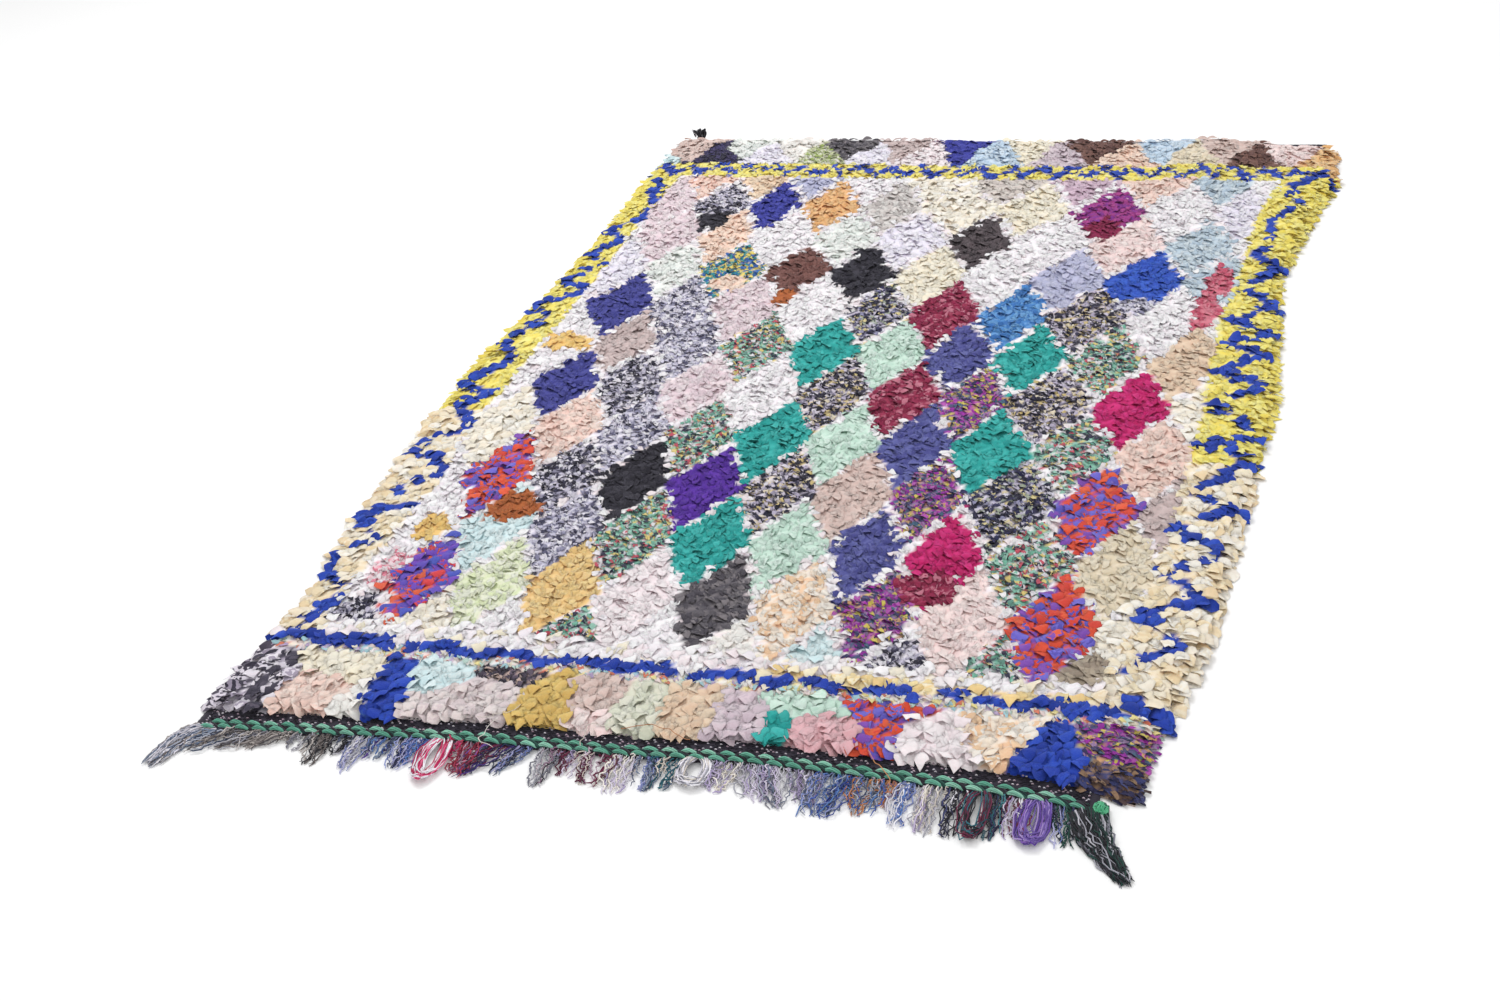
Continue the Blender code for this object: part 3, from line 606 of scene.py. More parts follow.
def start_material(name, roughness, sheen=0.06):
    """A material's node builder, with the constants set on the shader's own sockets."""
    material = bpy.data.materials.new(name)
    material.use_nodes = True
    shader = material.node_tree.nodes["Principled BSDF"]
    shader.inputs["Roughness"].default_value = roughness
    shader.inputs["Sheen Weight"].default_value = sheen
    shader.inputs["Sheen Roughness"].default_value = 0.6
    shader.inputs["Specular IOR Level"].default_value = 0.12
    return material, shader, Tree(material.node_tree)


def tinted(nodes, colour, amount):
    """The colour made lighter and darker by a number around one."""
    grey = nodes.add("ShaderNodeCombineColor", None, Red=amount, Green=amount, Blue=amount)
    return nodes.add(
        "ShaderNodeMix", {"data_type": "RGBA", "blend_type": "MULTIPLY"}, 2,
        n0=1.0, n6=colour, n7=grey,
    )


def rag_material():
    """Cut cotton: its own colour on each rag end, faded in blotches, with a plain weave."""
    material, shader, nodes = start_material("rag_cotton", 0.88)
    shader.inputs["Subsurface Weight"].default_value = 0.50
    shader.inputs["Subsurface Radius"].default_value = (1.0, 0.9, 0.9)
    shader.inputs["Subsurface Scale"].default_value = 0.007
    place = nodes.add("ShaderNodeTexCoord").other("Object")
    cloth = nodes.add("ShaderNodeAttribute", {"attribute_name": "rag_colour"})
    printed = nodes.add("ShaderNodeAttribute", {"attribute_name": "print_colour"})
    flowers = nodes.add("ShaderNodeTexNoise", None, Vector=place, Scale=150.0, Detail=0.0)
    figure = nodes.add(
        "ShaderNodeMapRange", None, Value=flowers, From_Min=0.50, From_Max=0.54
    )
    colour = nodes.add(
        "ShaderNodeMix", {"data_type": "RGBA"}, 2, n0=figure, n6=cloth, n7=printed
    )
    weave_map = nodes.add("ShaderNodeAttribute", {"attribute_name": "rag_map"}).other("Vector")
    blotch = nodes.add("ShaderNodeTexNoise", None, Vector=place, Scale=130.0, Detail=3.0)
    nodes.feed(shader, "Base Color", tinted(nodes, colour, blotch * 0.18 + 0.92))
    weft = nodes.add(
        "ShaderNodeTexWave", {"bands_direction": "X"}, 1, Vector=weave_map, Scale=9.0, Distortion=0.6
    )
    warp = nodes.add(
        "ShaderNodeTexWave", {"bands_direction": "Y"}, 1, Vector=weave_map, Scale=9.0, Distortion=0.6
    )
    creases = nodes.add("ShaderNodeTexNoise", None, Vector=place, Scale=320.0, Detail=2.0)
    bump = nodes.add(
        "ShaderNodeBump", None, Strength=0.75, Distance=0.0014,
        Height=creases + weft * warp * 0.25,
    )
    nodes.feed(shader, "Normal", bump)
    return material


def ground_material():
    """The woven ground: cream warp with beige and rose weft rows."""
    material, shader, nodes = start_material("ground_weave", 0.92)
    place = nodes.add("ShaderNodeTexCoord").other("Object")
    rows = nodes.add("ShaderNodeTexWave", {"bands_direction": "Y"}, 1, Vector=place, Scale=80.0)
    ends = nodes.add("ShaderNodeTexWave", {"bands_direction": "X"}, 1, Vector=place, Scale=110.0)
    patch = nodes.add("ShaderNodeTexNoise", None, Vector=place, Scale=14.0, Detail=2.0)
    colour = nodes.add(
        "ShaderNodeMix", {"data_type": "RGBA"}, 2, n0=patch,
        n6=(*linear((216, 196, 176)), 1), n7=(*linear((186, 164, 160)), 1),
    )
    nodes.feed(shader, "Base Color", tinted(nodes, colour, rows * ends * 0.5 + 0.6))
    bump = nodes.add("ShaderNodeBump", None, Strength=0.7, Distance=0.001, Height=rows * ends)
    nodes.feed(shader, "Normal", bump)
    return material


def floor_material():
    material, shader, nodes = start_material("pale_floor", 0.9, sheen=0)
    shader.inputs["Base Color"].default_value = (0.93, 0.93, 0.93, 1)
    return material


def rim_lines():
    """The pile's ground outline, read from its solid: left and right by y, near and far by x."""
    mesh = frame["nodes"]["rag_pile"].data
    points = np.array([v.co + RUG_MIDDLE for v in mesh.vertices if v.co.z < 0.0001])
    near_corner, far_corner = -0.98, 0.98
    middle = abs(points[:, 0]) < 0.6
    left = points[(points[:, 0] < 0) & ~middle]
    right = points[(points[:, 0] > 0) & ~middle]
    near = points[points[:, 1] < near_corner]
    far = points[points[:, 1] > far_corner]
    return {
        "left": by_order(left[:, 1], left[:, 0], np.minimum),
        "right": by_order(right[:, 1], right[:, 0], np.maximum),
        "near": by_order(near[:, 0], near[:, 1], np.minimum),
        "far": by_order(far[:, 0], far[:, 1], np.maximum),
    }


def by_order(keys, values, outer):
    """Points sorted by key, with the outer value where two share a key."""
    found = {}
    for key, value in zip(np.round(keys, 4), values):
        found[key] = outer(found[key], value) if key in found else value
    places = sorted(found)
    return np.array(places), np.array([found[p] for p in places])


RIMS = rim_lines()


def rim(side, at):
    """The rug's edge on a side. At the far end it is past the foot of the solid's slope."""
    keys, values = RIMS[side]
    reach = np.interp(at, *FAR_REACH) if side == "far" else 0
    return float(np.interp(at, keys, values) + reach)


def chain_line():
    """The middle of the twined chain along the near edge, read from its solid, with its loose ends."""
    points = np.array([v.co + RUG_MIDDLE for v in frame["nodes"]["twined_chain"].data.vertices])
    keys = np.linspace(points[:, 0].min() + 0.006, points[:, 0].max() - 0.006, 36)
    near = [points[abs(points[:, 0] - key) < 0.018] for key in keys]
    middles = np.array([(part.min(axis=0) + part.max(axis=0)) / 2 for part in near])
    keys = np.array([keys[0] - CHAIN_END, *keys, keys[-1] + CHAIN_END])
    ys = middles[:, 1]
    return keys, np.array([ys[0] - CHAIN_END_DROP, *ys, ys[-1] - CHAIN_END_DROP])


CHAIN_XS, CHAIN_YS = chain_line()


def chain_y(x):
    return float(np.interp(x, CHAIN_XS, CHAIN_YS))


def triangle(x, period):
    """A triangle wave from -1 to 1."""
    return abs((x / period) % 1 * 4 - 2) - 1


def nearest_patch(patches, x, y):
    def away(patch):
        return math.hypot(
            (x - patch["x"]) / patch.get("wide", 1), (y - patch["y"]) / patch.get("tall", 1)
        )
    patch = min(patches, key=away)
    return patch["rag"], away(patch)


def chance(x, y, size, seed):
    """A number from 0 to 1, the same all over a small square of the rug."""
    return 0.5 + 0.5 * noise.cell((x / size + 200, y / size + 200, seed))


def pick(x, y, rags):
    return rags[int(chance(x, y, 0.013, 7) * len(rags) * 0.999)]


def column_drift(x, y):
    """How far the weaver's columns lie from an even spacing."""
    alongs = [line["along"] for line in COLUMN_DRIFT]
    return float(np.interp(y, alongs, [np.interp(x, *zip(*line["drift"])) for line in COLUMN_DRIFT]))


def far_panel_rag(x, share):
    """The triangle of the far panel at a place across, and a share of its depth from the far end."""
    bent = x + FAR_PATCH_BEND * noise.noise((x * 17, share * 1.6, 20))

    def away(patch):
        broad = 1 - share if patch["base"] == "far" else share
        return abs(bent - patch["across"]) - FAR_PATCH_HALF * broad
    return min(FAR_PANEL, key=away)["rag"]


def field_rag(x, y):
    """The lozenge that a place lies in, or a pale scrap between two."""
    wx = x - column_drift(x, y) + WARP_ACROSS * noise.noise((x * WARP_SIZE, y * WARP_SIZE, 1))
    wy = y + WARP_ALONG * noise.noise((x * WARP_SIZE, y * WARP_SIZE, 2))
    rag, away = nearest_patch(FIELD_PATCHES, wx + column_drift(x, y), wy)
    if away < 1 + 2 * EDGE_FRAY * noise.noise((x * FRAY_ACROSS, y * FRAY_ALONG, 21)):
        return rag
    slope = 2 * LOZENGE_TIP / LOZENGE_ACROSS
    reach = LOZENGE_TIP + (LOZENGE_ALONG / 2 - LOZENGE_TIP) / 2
    best = None
    for half in (0, 0.5):
        column = round((wx - LOZENGE_ORIGIN[0]) / LOZENGE_ACROSS - half) + half
        row = round((wy - LOZENGE_ORIGIN[1]) / LOZENGE_ALONG - half) + half
        dx = abs(wx - LOZENGE_ORIGIN[0] - column * LOZENGE_ACROSS)
        dy = abs(wy - LOZENGE_ORIGIN[1] - row * LOZENGE_ALONG)
        depth = (dy + slope * dx) / reach
        if best is None or depth < best[0]:
            best = depth, column, row
    depth, column, row = best
    chart = next((line for line in FIELD if line["row"] == row), None)
    edge = SCRAP_EDGE - SCRAP_VARIES * chance(column, row, 0.5, 17)
    edge += EDGE_FRAY * noise.noise((x * FRAY_ACROSS, y * FRAY_ALONG, 18))
    if chart is None or (depth > edge and chance(x, y, 0.011, 3) < SCRAP_SHARE):
        return pick(x, y, ("scrap", "scrap", "white", "pale_pink"))
    rags = chart["rags"].split()
    number = int(column - chart["first"])
    return rags[number] if 0 <= number < len(rags) else "white"


def off_line(corners, x, y):
    """How far a place is from the zigzag through the corners."""
    nearest = 1.0
    for (ax, ay), (bx, by) in zip(corners, corners[1:]):
        if not by - 0.04 < y < ay + 0.04:
            continue
        along = ((x - ax) * (bx - ax) + (y - ay) * (by - ay)) / ((bx - ax) ** 2 + (by - ay) ** 2)
        along = min(max(along, 0), 1)
        nearest = min(nearest, math.hypot(x - ax - along * (bx - ax), y - ay - along * (by - ay)))
    return nearest


def side_border_rag(x, y):
    """Yellow, then cream nearer the fringe, with a broken blue zigzag."""
    half = ZIGZAG_HALF + 0.007 * noise.noise((x * 40, y * 40, 5))
    near_line = off_line(ZIGZAGS["left" if x < 0 else "right"], x, y) < half
    if near_line and chance(x, y, 0.021, 11) < ZIGZAG_SHARE:
        return "royal_blue"
    if y + 0.02 * noise.noise((x * 20, y * 20, 4)) > YELLOW_ENDS["left" if x < 0 else "right"]:
        return "yellow"
    return pick(x, y, ("beige", "beige", "cream"))


def inner_edge(side, y):
    alongs, edges = zip(*INNER_EDGES[side])
    return float(np.interp(y, alongs, edges)) + 0.006 * noise.noise((y * 30, 0, 12))


def cut_at(rag_name, x, y):
    """How a rag is cut at a place: strips are wider at the near end."""
    cut = RAGS[rag_name]["cut"]
    return "petal" if cut == "strip" and y < PETALS_BELOW else cut


def near_end_rag(x, up):
    """The near panel and the bands above it, by distance from the blue line."""
    if up < -CONFETTI_DEPTH:
        return nearest_patch(NEAR_PANEL, x, NEAR_LINE + up)[0]
    in_line = abs(up + NEAR_LINE_WAVE * triangle(x, 0.11)) < NEAR_LINE_HALF
    if in_line and chance(x, up, 0.020, 19) < NEAR_LINE_SHARE:
        return "royal_blue"
    if up < 0:
        return "confetti"
    if up < CREAM_DEPTH / 2 and x > 0.08:
        return "orange_row"
    return pick(x, y=up, rags=("white", "white", "cream_yellow", "pale_pink"))


def far_border_rag(x, share):
    """A broken blue zigzag on yellow. share: of the border's depth, from the far side."""
    line = 0.48 + 0.34 * triangle(x + 0.016 * noise.noise((x * 18, 0, 13)), FAR_ZIGZAG)
    half = 0.27 + 0.22 * noise.noise((x * 30, share * 2, 14))
    broken = chance(x, share, 0.024, 15) > ZIGZAG_SHARE
    return "royal_bits" if abs(share - line) < half and not broken else "yellow"


def rag_at(x, y):
    """The rag knotted at a place of the ground, by the weaver's chart."""
    up = y - NEAR_LINE + 0.004 * noise.noise((x * 9, 0, 16))
    down = rim("far", x) - y
    if down < FAR_PANEL_DEPTH:
        return far_panel_rag(x, min(max(down / FAR_PANEL_DEPTH, 0), 1))
    if down < FAR_BORDER_DEPTH:
        return far_border_rag(x, (down - FAR_PANEL_DEPTH) / (FAR_BORDER_DEPTH - FAR_PANEL_DEPTH))
    in_field = inner_edge("left", y) < x < inner_edge("right", y)
    if up < (CREAM_DEPTH if in_field else NEAR_LINE_HALF):
        return near_end_rag(x, up)
    return field_rag(x, y) if in_field else side_border_rag(x, y)


def make_cut_meshes():
    """Every variant of every cut as a small sheet, a unit wide and long, rooted at the origin."""
    rng = random.Random(11)
    collection = bpy.data.collections.new("rag_cuts")
    firsts, number = {}, 0
    for cut_name, cut in CUTS.items():
        firsts[cut_name] = number
        for _ in range(cut["variants"]):
            mesh = cut_mesh(f"rag_cut_{number:02d}", cut, rng)
            collection.objects.link(bpy.data.objects.new(mesh.name, mesh))
            number += 1
    return collection, firsts


def cut_mesh(name, cut, rng):
    """A rag end that rises from its root and flops over, cupped, rippled and cut aslant."""
    rise, droop = math.radians(rng.uniform(*cut["rise"])), math.radians(rng.uniform(*cut["droop"]))
    cup, twist = rng.uniform(-1, 1) * cut["cup"], rng.uniform(-0.35, 0.35)
    phase, slant = rng.uniform(0, math.tau), rng.uniform(-1, 1) * cut["slant"]
    bm = bmesh.new()
    maps = bm.loops.layers.uv.new("rag_map")
    bmesh.ops.create_grid(bm, x_segments=cut["columns"], y_segments=cut["rows"], size=0.5)
    spine = [(0.0, 0.0)]
    for row in range(cut["rows"]):
        slope = rise + (droop - rise) * ((row + 0.5) / cut["rows"]) ** 0.8
        y, z = spine[-1]
        spine.append((y + math.cos(slope) / cut["rows"], z + math.sin(slope) / cut["rows"]))
    for face in bm.faces:
        for loop in face.loops:
            loop[maps].uv = loop.vert.co.x + 0.5, loop.vert.co.y + 0.5
    for vert in bm.verts:
        across, along = vert.co.x * 2, vert.co.y + 0.5
        y, z = spine[round(along * cut["rows"])]
        full = min(1, cut["root"] + (1 - cut["root"]) * math.sin(min(1, along / 0.5) * math.pi / 2))
        narrow = 1 - (1 - cut["tip"]) * max(0, (along - 0.6) / 0.4) ** 2
        reach = across * full * narrow / 2
        ripple = cut["ripple"] * along * math.sin(across * 2.2 + phase + along * 3)
        lift = cup * across**2 * along + ripple + rng.uniform(-0.02, 0.02) * along
        turn = twist * along
        vert.co = (
            reach * math.cos(turn),
            y + slant * across * along**3 - 0.06 * across**2 * along - lift * 0.3,
            z + lift + reach * math.sin(turn) * 0.6,
        )
    mesh = bpy.data.meshes.new(name)
    bm.to_mesh(mesh)
    bm.free()
    return mesh


def knot_tree():
    """Sets a cut on each knot point by its attributes, crumples them all, and keeps them off the floor."""
    tree = bpy.data.node_groups.new("knot_rags", "GeometryNodeTree")
    sockets = {
        "Knots": "NodeSocketGeometry", "Cuts": "NodeSocketCollection", "Crumple": "NodeSocketFloat",
        "Crumple Size": "NodeSocketFloat", "Least Height": "NodeSocketFloat",
        "Material": "NodeSocketMaterial",
    }
    for name, kind in sockets.items():
        tree.interface.new_socket(name, in_out="INPUT", socket_type=kind)
    tree.interface.new_socket("Rags", in_out="OUTPUT", socket_type="NodeSocketGeometry")
    nodes = Tree(tree)
    given = nodes.add("NodeGroupInput")
    attribute = "GeometryNodeInputNamedAttribute"
    cuts = nodes.add(
        "GeometryNodeCollectionInfo", None, Collection=given.other("Cuts"),
        Separate_Children=True, Reset_Children=True,
    )
    turn = nodes.add(attribute, {"data_type": "FLOAT_VECTOR"}, Name="turn")
    size = nodes.add(attribute, {"data_type": "FLOAT_VECTOR"}, Name="size")
    which = nodes.add(attribute, {"data_type": "INT"}, Name="which")
    own = nodes.add(attribute, {"data_type": "FLOAT"}, Name="own_noise")
    placed = nodes.add(
        "GeometryNodeInstanceOnPoints", None, Points=given.other("Knots"), Instance=cuts,
        Pick_Instance=True, Instance_Index=which,
        Rotation=nodes.add("FunctionNodeEulerToRotation", None, Euler=turn), Scale=size,
    )
    whole = nodes.add("GeometryNodeRealizeInstances", None, Geometry=placed)
    place = nodes.add("GeometryNodeInputPosition")
    bends = nodes.add(
        "ShaderNodeTexNoise", {"noise_dimensions": "4D"}, 1, Vector=place, W=own,
        Scale=given.other("Crumple Size"), Detail=2.0,
    )
    centred = nodes.add(
        "ShaderNodeVectorMath", {"operation": "SUBTRACT"}, n0=bends, n1=(0.5, 0.5, 0.5)
    )
    offset = nodes.add("ShaderNodeVectorMath", {"operation": "SCALE"}, n0=centred)
    nodes.feed(offset.socket.node, "Scale", given.other("Crumple"))
    bent = nodes.add("GeometryNodeSetPosition", None, Geometry=whole, Offset=offset)
    after = nodes.add("ShaderNodeSeparateXYZ", None, Vector=nodes.add("GeometryNodeInputPosition"))
    lifted = after.maths("MAXIMUM", after.other(2), given.other("Least Height"))
    clear = nodes.add("ShaderNodeCombineXYZ", None, X=after, Y=after.other(1), Z=lifted)
    raised = nodes.add("GeometryNodeSetPosition", None, Geometry=bent, Position=clear)
    smooth = nodes.add("GeometryNodeSetShadeSmooth", None, Geometry=raised)
    dressed = nodes.add(
        "GeometryNodeSetMaterial", None, Geometry=smooth, Material=given.other("Material")
    )
    nodes.add("NodeGroupOutput", None, Rags=dressed)
    return tree


def as_plain_mesh(name, host, tree, inputs):
    """A host object's mesh after a Geometry Nodes tree, as a new object. The host is removed."""
    modifier = host.modifiers.new("shape", "NODES")
    modifier.node_group = tree
    for item in tree.interface.items_tree:
        if item.in_out == "INPUT" and item.name in inputs:
            modifier[item.identifier] = inputs[item.name]
    evaluated = host.evaluated_get(bpy.context.evaluated_depsgraph_get())
    mesh = bpy.data.meshes.new_from_object(evaluated)
    mesh.name = name
    bpy.data.objects.remove(host)
    return finish_piece(name, mesh)


def finish_piece(name, mesh):
    """The mesh moved into the frame of the solids, as an object at the origin."""
    mesh.transform(Matrix.Translation(-RUG_MIDDLE))
    piece = bpy.data.objects.new(name, mesh)
    bpy.context.scene.collection.objects.link(piece)
    return piece


def points_object(name, rows):
    """A mesh of loose points with the attributes that the trees read."""
    mesh = bpy.data.meshes.new(name)
    mesh.from_pydata([row["place"] for row in rows], [], [])
    kinds = {
        "turn": "FLOAT_VECTOR", "size": "FLOAT_VECTOR", "rag_colour": "FLOAT_COLOR",
        "print_colour": "FLOAT_COLOR",
    }
    fields = {"FLOAT_VECTOR": "vector", "FLOAT_COLOR": "color", "INT": "value", "FLOAT": "value"}
    for key in rows[0]:
        if key == "place":
            continue
        kind = kinds.get(key, "INT" if isinstance(rows[0][key], int) else "FLOAT")
        attribute = mesh.attributes.new(key, kind, "POINT")
        values = np.array([row[key] for row in rows]).ravel()
        attribute.data.foreach_set(fields[kind], values)
    host = bpy.data.objects.new(name, mesh)
    bpy.context.scene.collection.objects.link(host)
    return host


def lie_of(x, y, left, right, rng):
    """Which way a rag end lies: with the pile's lean, but outwards near the sides and the far end."""
    out = max(0, 1 - (right - x) / SIDE_COMB) - max(0, 1 - (x - left) / SIDE_COMB)
    away = max(0, 1 - (rim("far", x) - y) / FAR_COMB) if x < FAR_COMB_END else 0
    way = Vector(LIE) + Vector((SIDE_LEAN * out, FAR_LEAN * away))
    at_rim = min(x - left, right - x, y - rim("near", x), rim("far", x) - y) < 0.02
    wander = LIE_WANDER * noise.noise((x * 14, y * 14, 9)) * (0.3 if at_rim else 1)
    return math.atan2(-way.x, way.y) + wander + rng.gauss(0, RIM_SPREAD if at_rim else LIE_SPREAD)


def rag_ends(cut_name):
    """Each rag end of one cut: its place, turn, size, variant and colours, on the cut's own grid."""
    cut = CUTS[cut_name]
    rng = random.Random(cut_name)
    pitch_x, pitch_y = cut["pitch"]
    near, far = rim("near", 0), rim("far", 0)
    rows = round((far - near) / pitch_y)
    ends = []
    for row in range(rows + 1):
        v = row / rows
        at = near + (far - near) * v
        left, right = rim("left", at) + RIM_INSET, rim("right", at) - RIM_INSET
        knots = round((right - left) / pitch_x)
        for knot in range(knots + 1):
            x = left + (right - left) * min(1, (knot + 0.5 * (row % 2)) / knots)
            in_from_near = NEAR_INSET if CHAIN_XS[0] < x < CHAIN_XS[-1] - 0.03 else RIM_INSET
            first, last = rim("near", x) + in_from_near, rim("far", x) - FAR_INSET
            y = first + (last - first) * v
            x += rng.uniform(-0.35, 0.35) * pitch_x
            y += rng.uniform(-0.35, 0.35) * pitch_y
            long = rng.uniform(*cut["long"]) * (1 + 0.16 * noise.noise((x * 22, y * 22, 6)))
            lie = lie_of(x, y, left, right, rng)
            shown = SHOWS_AT * long
            shown_x, shown_y = x - shown * math.sin(lie), y + shown * math.cos(lie)
            rag_name = rag_at(shown_x, shown_y)
            if cut_at(rag_name, shown_x, shown_y) != cut_name:
                continue
            rag = RAGS[rag_name]
            tint = rng.uniform(0.94, 1.06)
            shades = [linear(rng.choice(rag["shades"])) * tint for _ in range(2)]
            if rng.random() > rag.get("printed", 0.6):
                shades[1] = shades[0]
            wide = rng.uniform(*cut["wide"])
            ends.append({
                "place": (x, y, packed_height(x, y) - ROOT_DEPTH),
                "turn": (rng.gauss(0, 0.10), rng.gauss(0, 0.14), lie),
                "size": (wide, long, long),
                "which": CUT_FIRSTS[cut_name] + rng.randrange(cut["variants"]),
                "rag_colour": (*shades[0], 1.0),
                "print_colour": (*shades[1], 1.0),
                "own_noise": rng.uniform(0, 50),
            })
    return ends


ZONES = [
    {"name": "near_end_rags", "from": -2.00, "to": -0.80},
    {"name": "near_field_rags", "from": -0.80, "to": -0.45},
    {"name": "low_middle_rags", "from": -0.45, "to": -0.08},
    {"name": "high_middle_rags", "from": -0.08, "to": 0.30},
    {"name": "far_field_rags", "from": 0.30, "to": 0.70},
    {"name": "far_end_rags", "from": 0.70, "to": 2.00},
]


def give_cells(mesh, count):
    """A map for baking, on which each rag end has a square cell of its own."""
    side = math.ceil(math.sqrt(count))
    corners = np.empty(len(mesh.loops), np.int32)
    mesh.loops.foreach_get("vertex_index", corners)
    numbers = np.empty(len(mesh.vertices), np.int32)
    mesh.attributes["cell"].data.foreach_get("value", numbers)
    own = np.empty(len(mesh.loops) * 2, np.float32)
    mesh.attributes["rag_map"].data.foreach_get("vector", own)
    cell = numbers[corners]
    places = np.stack((cell % side, cell // side), axis=1) + CELL_EDGE
    places += own.reshape(-1, 2) * (1 - 2 * CELL_EDGE)
    mesh.uv_layers.new(name="OFBake").uv.foreach_set("vector", (places / side).astype(np.float32).ravel())


def make_rag_pile(material):
    tree = knot_tree()
    rags = [end for cut_name in CUTS for end in rag_ends(cut_name)]
    pieces = []
    for zone in ZONES:
        here = [rag for rag in rags if zone["from"] <= rag["place"][1] < zone["to"]]
        here = [{**rag, "cell": number} for number, rag in enumerate(here)]
        host = points_object(zone["name"] + "_knots", here)
        piece = as_plain_mesh(zone["name"], host, tree, {
            "Cuts": CUT_MESHES, "Crumple": CRUMPLE, "Crumple Size": CRUMPLE_SIZE,
            "Least Height": LEAST_HEIGHT, "Material": material,
        })
        give_cells(piece.data, len(here))
        pieces.append(piece)
    return pieces


def packed_height(x, y):
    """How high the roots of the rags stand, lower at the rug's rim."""
    at_rim = min(x - rim("left", y), rim("right", y) - x, y - rim("near", x)) / PACKED_EDGE
    share = min(max(min(at_rim, (rim("far", x) - y) / FAR_EDGE), 0), 1)
    lumps = PACKED_LUMPS * noise.noise((x * 60, y * 60, 8))
    return GROUND_TOP + (PACKED_TOP + lumps - GROUND_TOP) * share


def in_outline(u, v):
    """A place of the rug, from shares of its width and length."""
    near, far = rim("near", 0), rim("far", 0)
    at = near + (far - near) * v
    x = rim("left", at) + (rim("right", at) - rim("left", at)) * u
    return x, rim("near", x) + (rim("far", x) - rim("near", x)) * v


def make_packed_pile(material):
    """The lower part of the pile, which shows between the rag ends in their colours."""
    columns, rows = round(1.36 / PACKED_STEP), round(2.08 / PACKED_STEP)
    bm = bmesh.new()
    bmesh.ops.create_grid(bm, x_segments=columns, y_segments=rows, size=0.5)
    maps = bm.loops.layers.uv.new("rag_map")
    for face in bm.faces:
        for loop in face.loops:
            loop[maps].uv = (loop.vert.co.x + 0.5) * 40, (loop.vert.co.y + 0.5) * 60
    for vert in bm.verts:
        x, y = in_outline(vert.co.x + 0.5, vert.co.y + 0.5)
        vert.co = (x, y, packed_height(x, y))
    rim_edges = [edge for edge in bm.edges if edge.is_boundary]
    walls = bmesh.ops.extrude_edge_only(bm, edges=rim_edges)["geom"]
    for vert in (part for part in walls if isinstance(part, bmesh.types.BMVert)):
        vert.co.z = GROUND_TOP - 0.0004
    bmesh.ops.holes_fill(bm, edges=[edge for edge in bm.edges if edge.is_boundary])
    bmesh.ops.recalc_face_normals(bm, faces=bm.faces)
    mesh = bpy.data.meshes.new("packed_pile")
    bm.to_mesh(mesh)
    bm.free()
    rng = random.Random(5)
    colours = []
    for vert in mesh.vertices:
        shade = linear(rng.choice(RAGS[rag_at(vert.co.x, vert.co.y)]["shades"]))
        colours += [*shade, 1.0]
    for name in ("rag_colour", "print_colour"):
        attribute = mesh.attributes.new(name, "FLOAT_COLOR", "POINT")
        attribute.data.foreach_set("color", colours)
    mesh.shade_smooth()
    mesh.materials.append(material)
    return finish_piece("packed_pile", mesh)


def make_ground(material):
    """The woven ground cloth, a thin sheet to the pile's outline."""
    bm = bmesh.new()
    bmesh.ops.create_grid(bm, x_segments=24, y_segments=36, size=0.5)
    for vert in bm.verts:
        vert.co = (*in_outline(vert.co.x + 0.5, vert.co.y + 0.5), GROUND_TOP)
    mesh = bpy.data.meshes.new("ground_cloth")
    bm.to_mesh(mesh)
    bm.free()
    mesh.materials.append(material)
    piece = finish_piece("ground_cloth", mesh)
    thick = piece.modifiers.new("thickness", "SOLIDIFY")
    thick.thickness, thick.offset = GROUND_TOP, -1
    return piece


def yarn_tree():
    """Gives each line of a mesh a round yarn of its own thickness."""
    tree = bpy.data.node_groups.new("spin_yarn", "GeometryNodeTree")
    sockets = {
        "Lines": "NodeSocketGeometry", "Sides": "NodeSocketInt", "Material": "NodeSocketMaterial",
    }
    for name, kind in sockets.items():
        tree.interface.new_socket(name, in_out="INPUT", socket_type=kind)
    tree.interface.new_socket("Yarns", in_out="OUTPUT", socket_type="NodeSocketGeometry")
    nodes = Tree(tree)
    given = nodes.add("NodeGroupInput")
    thickness = nodes.add(
        "GeometryNodeInputNamedAttribute", {"data_type": "FLOAT"}, Name="thickness"
    )
    lines = nodes.add("GeometryNodeMeshToCurve", None, Mesh=given)
    ring = nodes.add(
        "GeometryNodeCurvePrimitiveCircle", None, Resolution=given.other("Sides"), Radius=0.5
    )
    spun = nodes.add(
        "GeometryNodeCurveToMesh", None, Curve=lines, Profile_Curve=ring, Scale=thickness,
        Fill_Caps=True,
    )
    smooth = nodes.add("GeometryNodeSetShadeSmooth", None, Geometry=spun)
    dressed = nodes.add(
        "GeometryNodeSetMaterial", None, Geometry=smooth, Material=given.other("Material")
    )
    nodes.add("NodeGroupOutput", None, Yarns=dressed)
    return tree


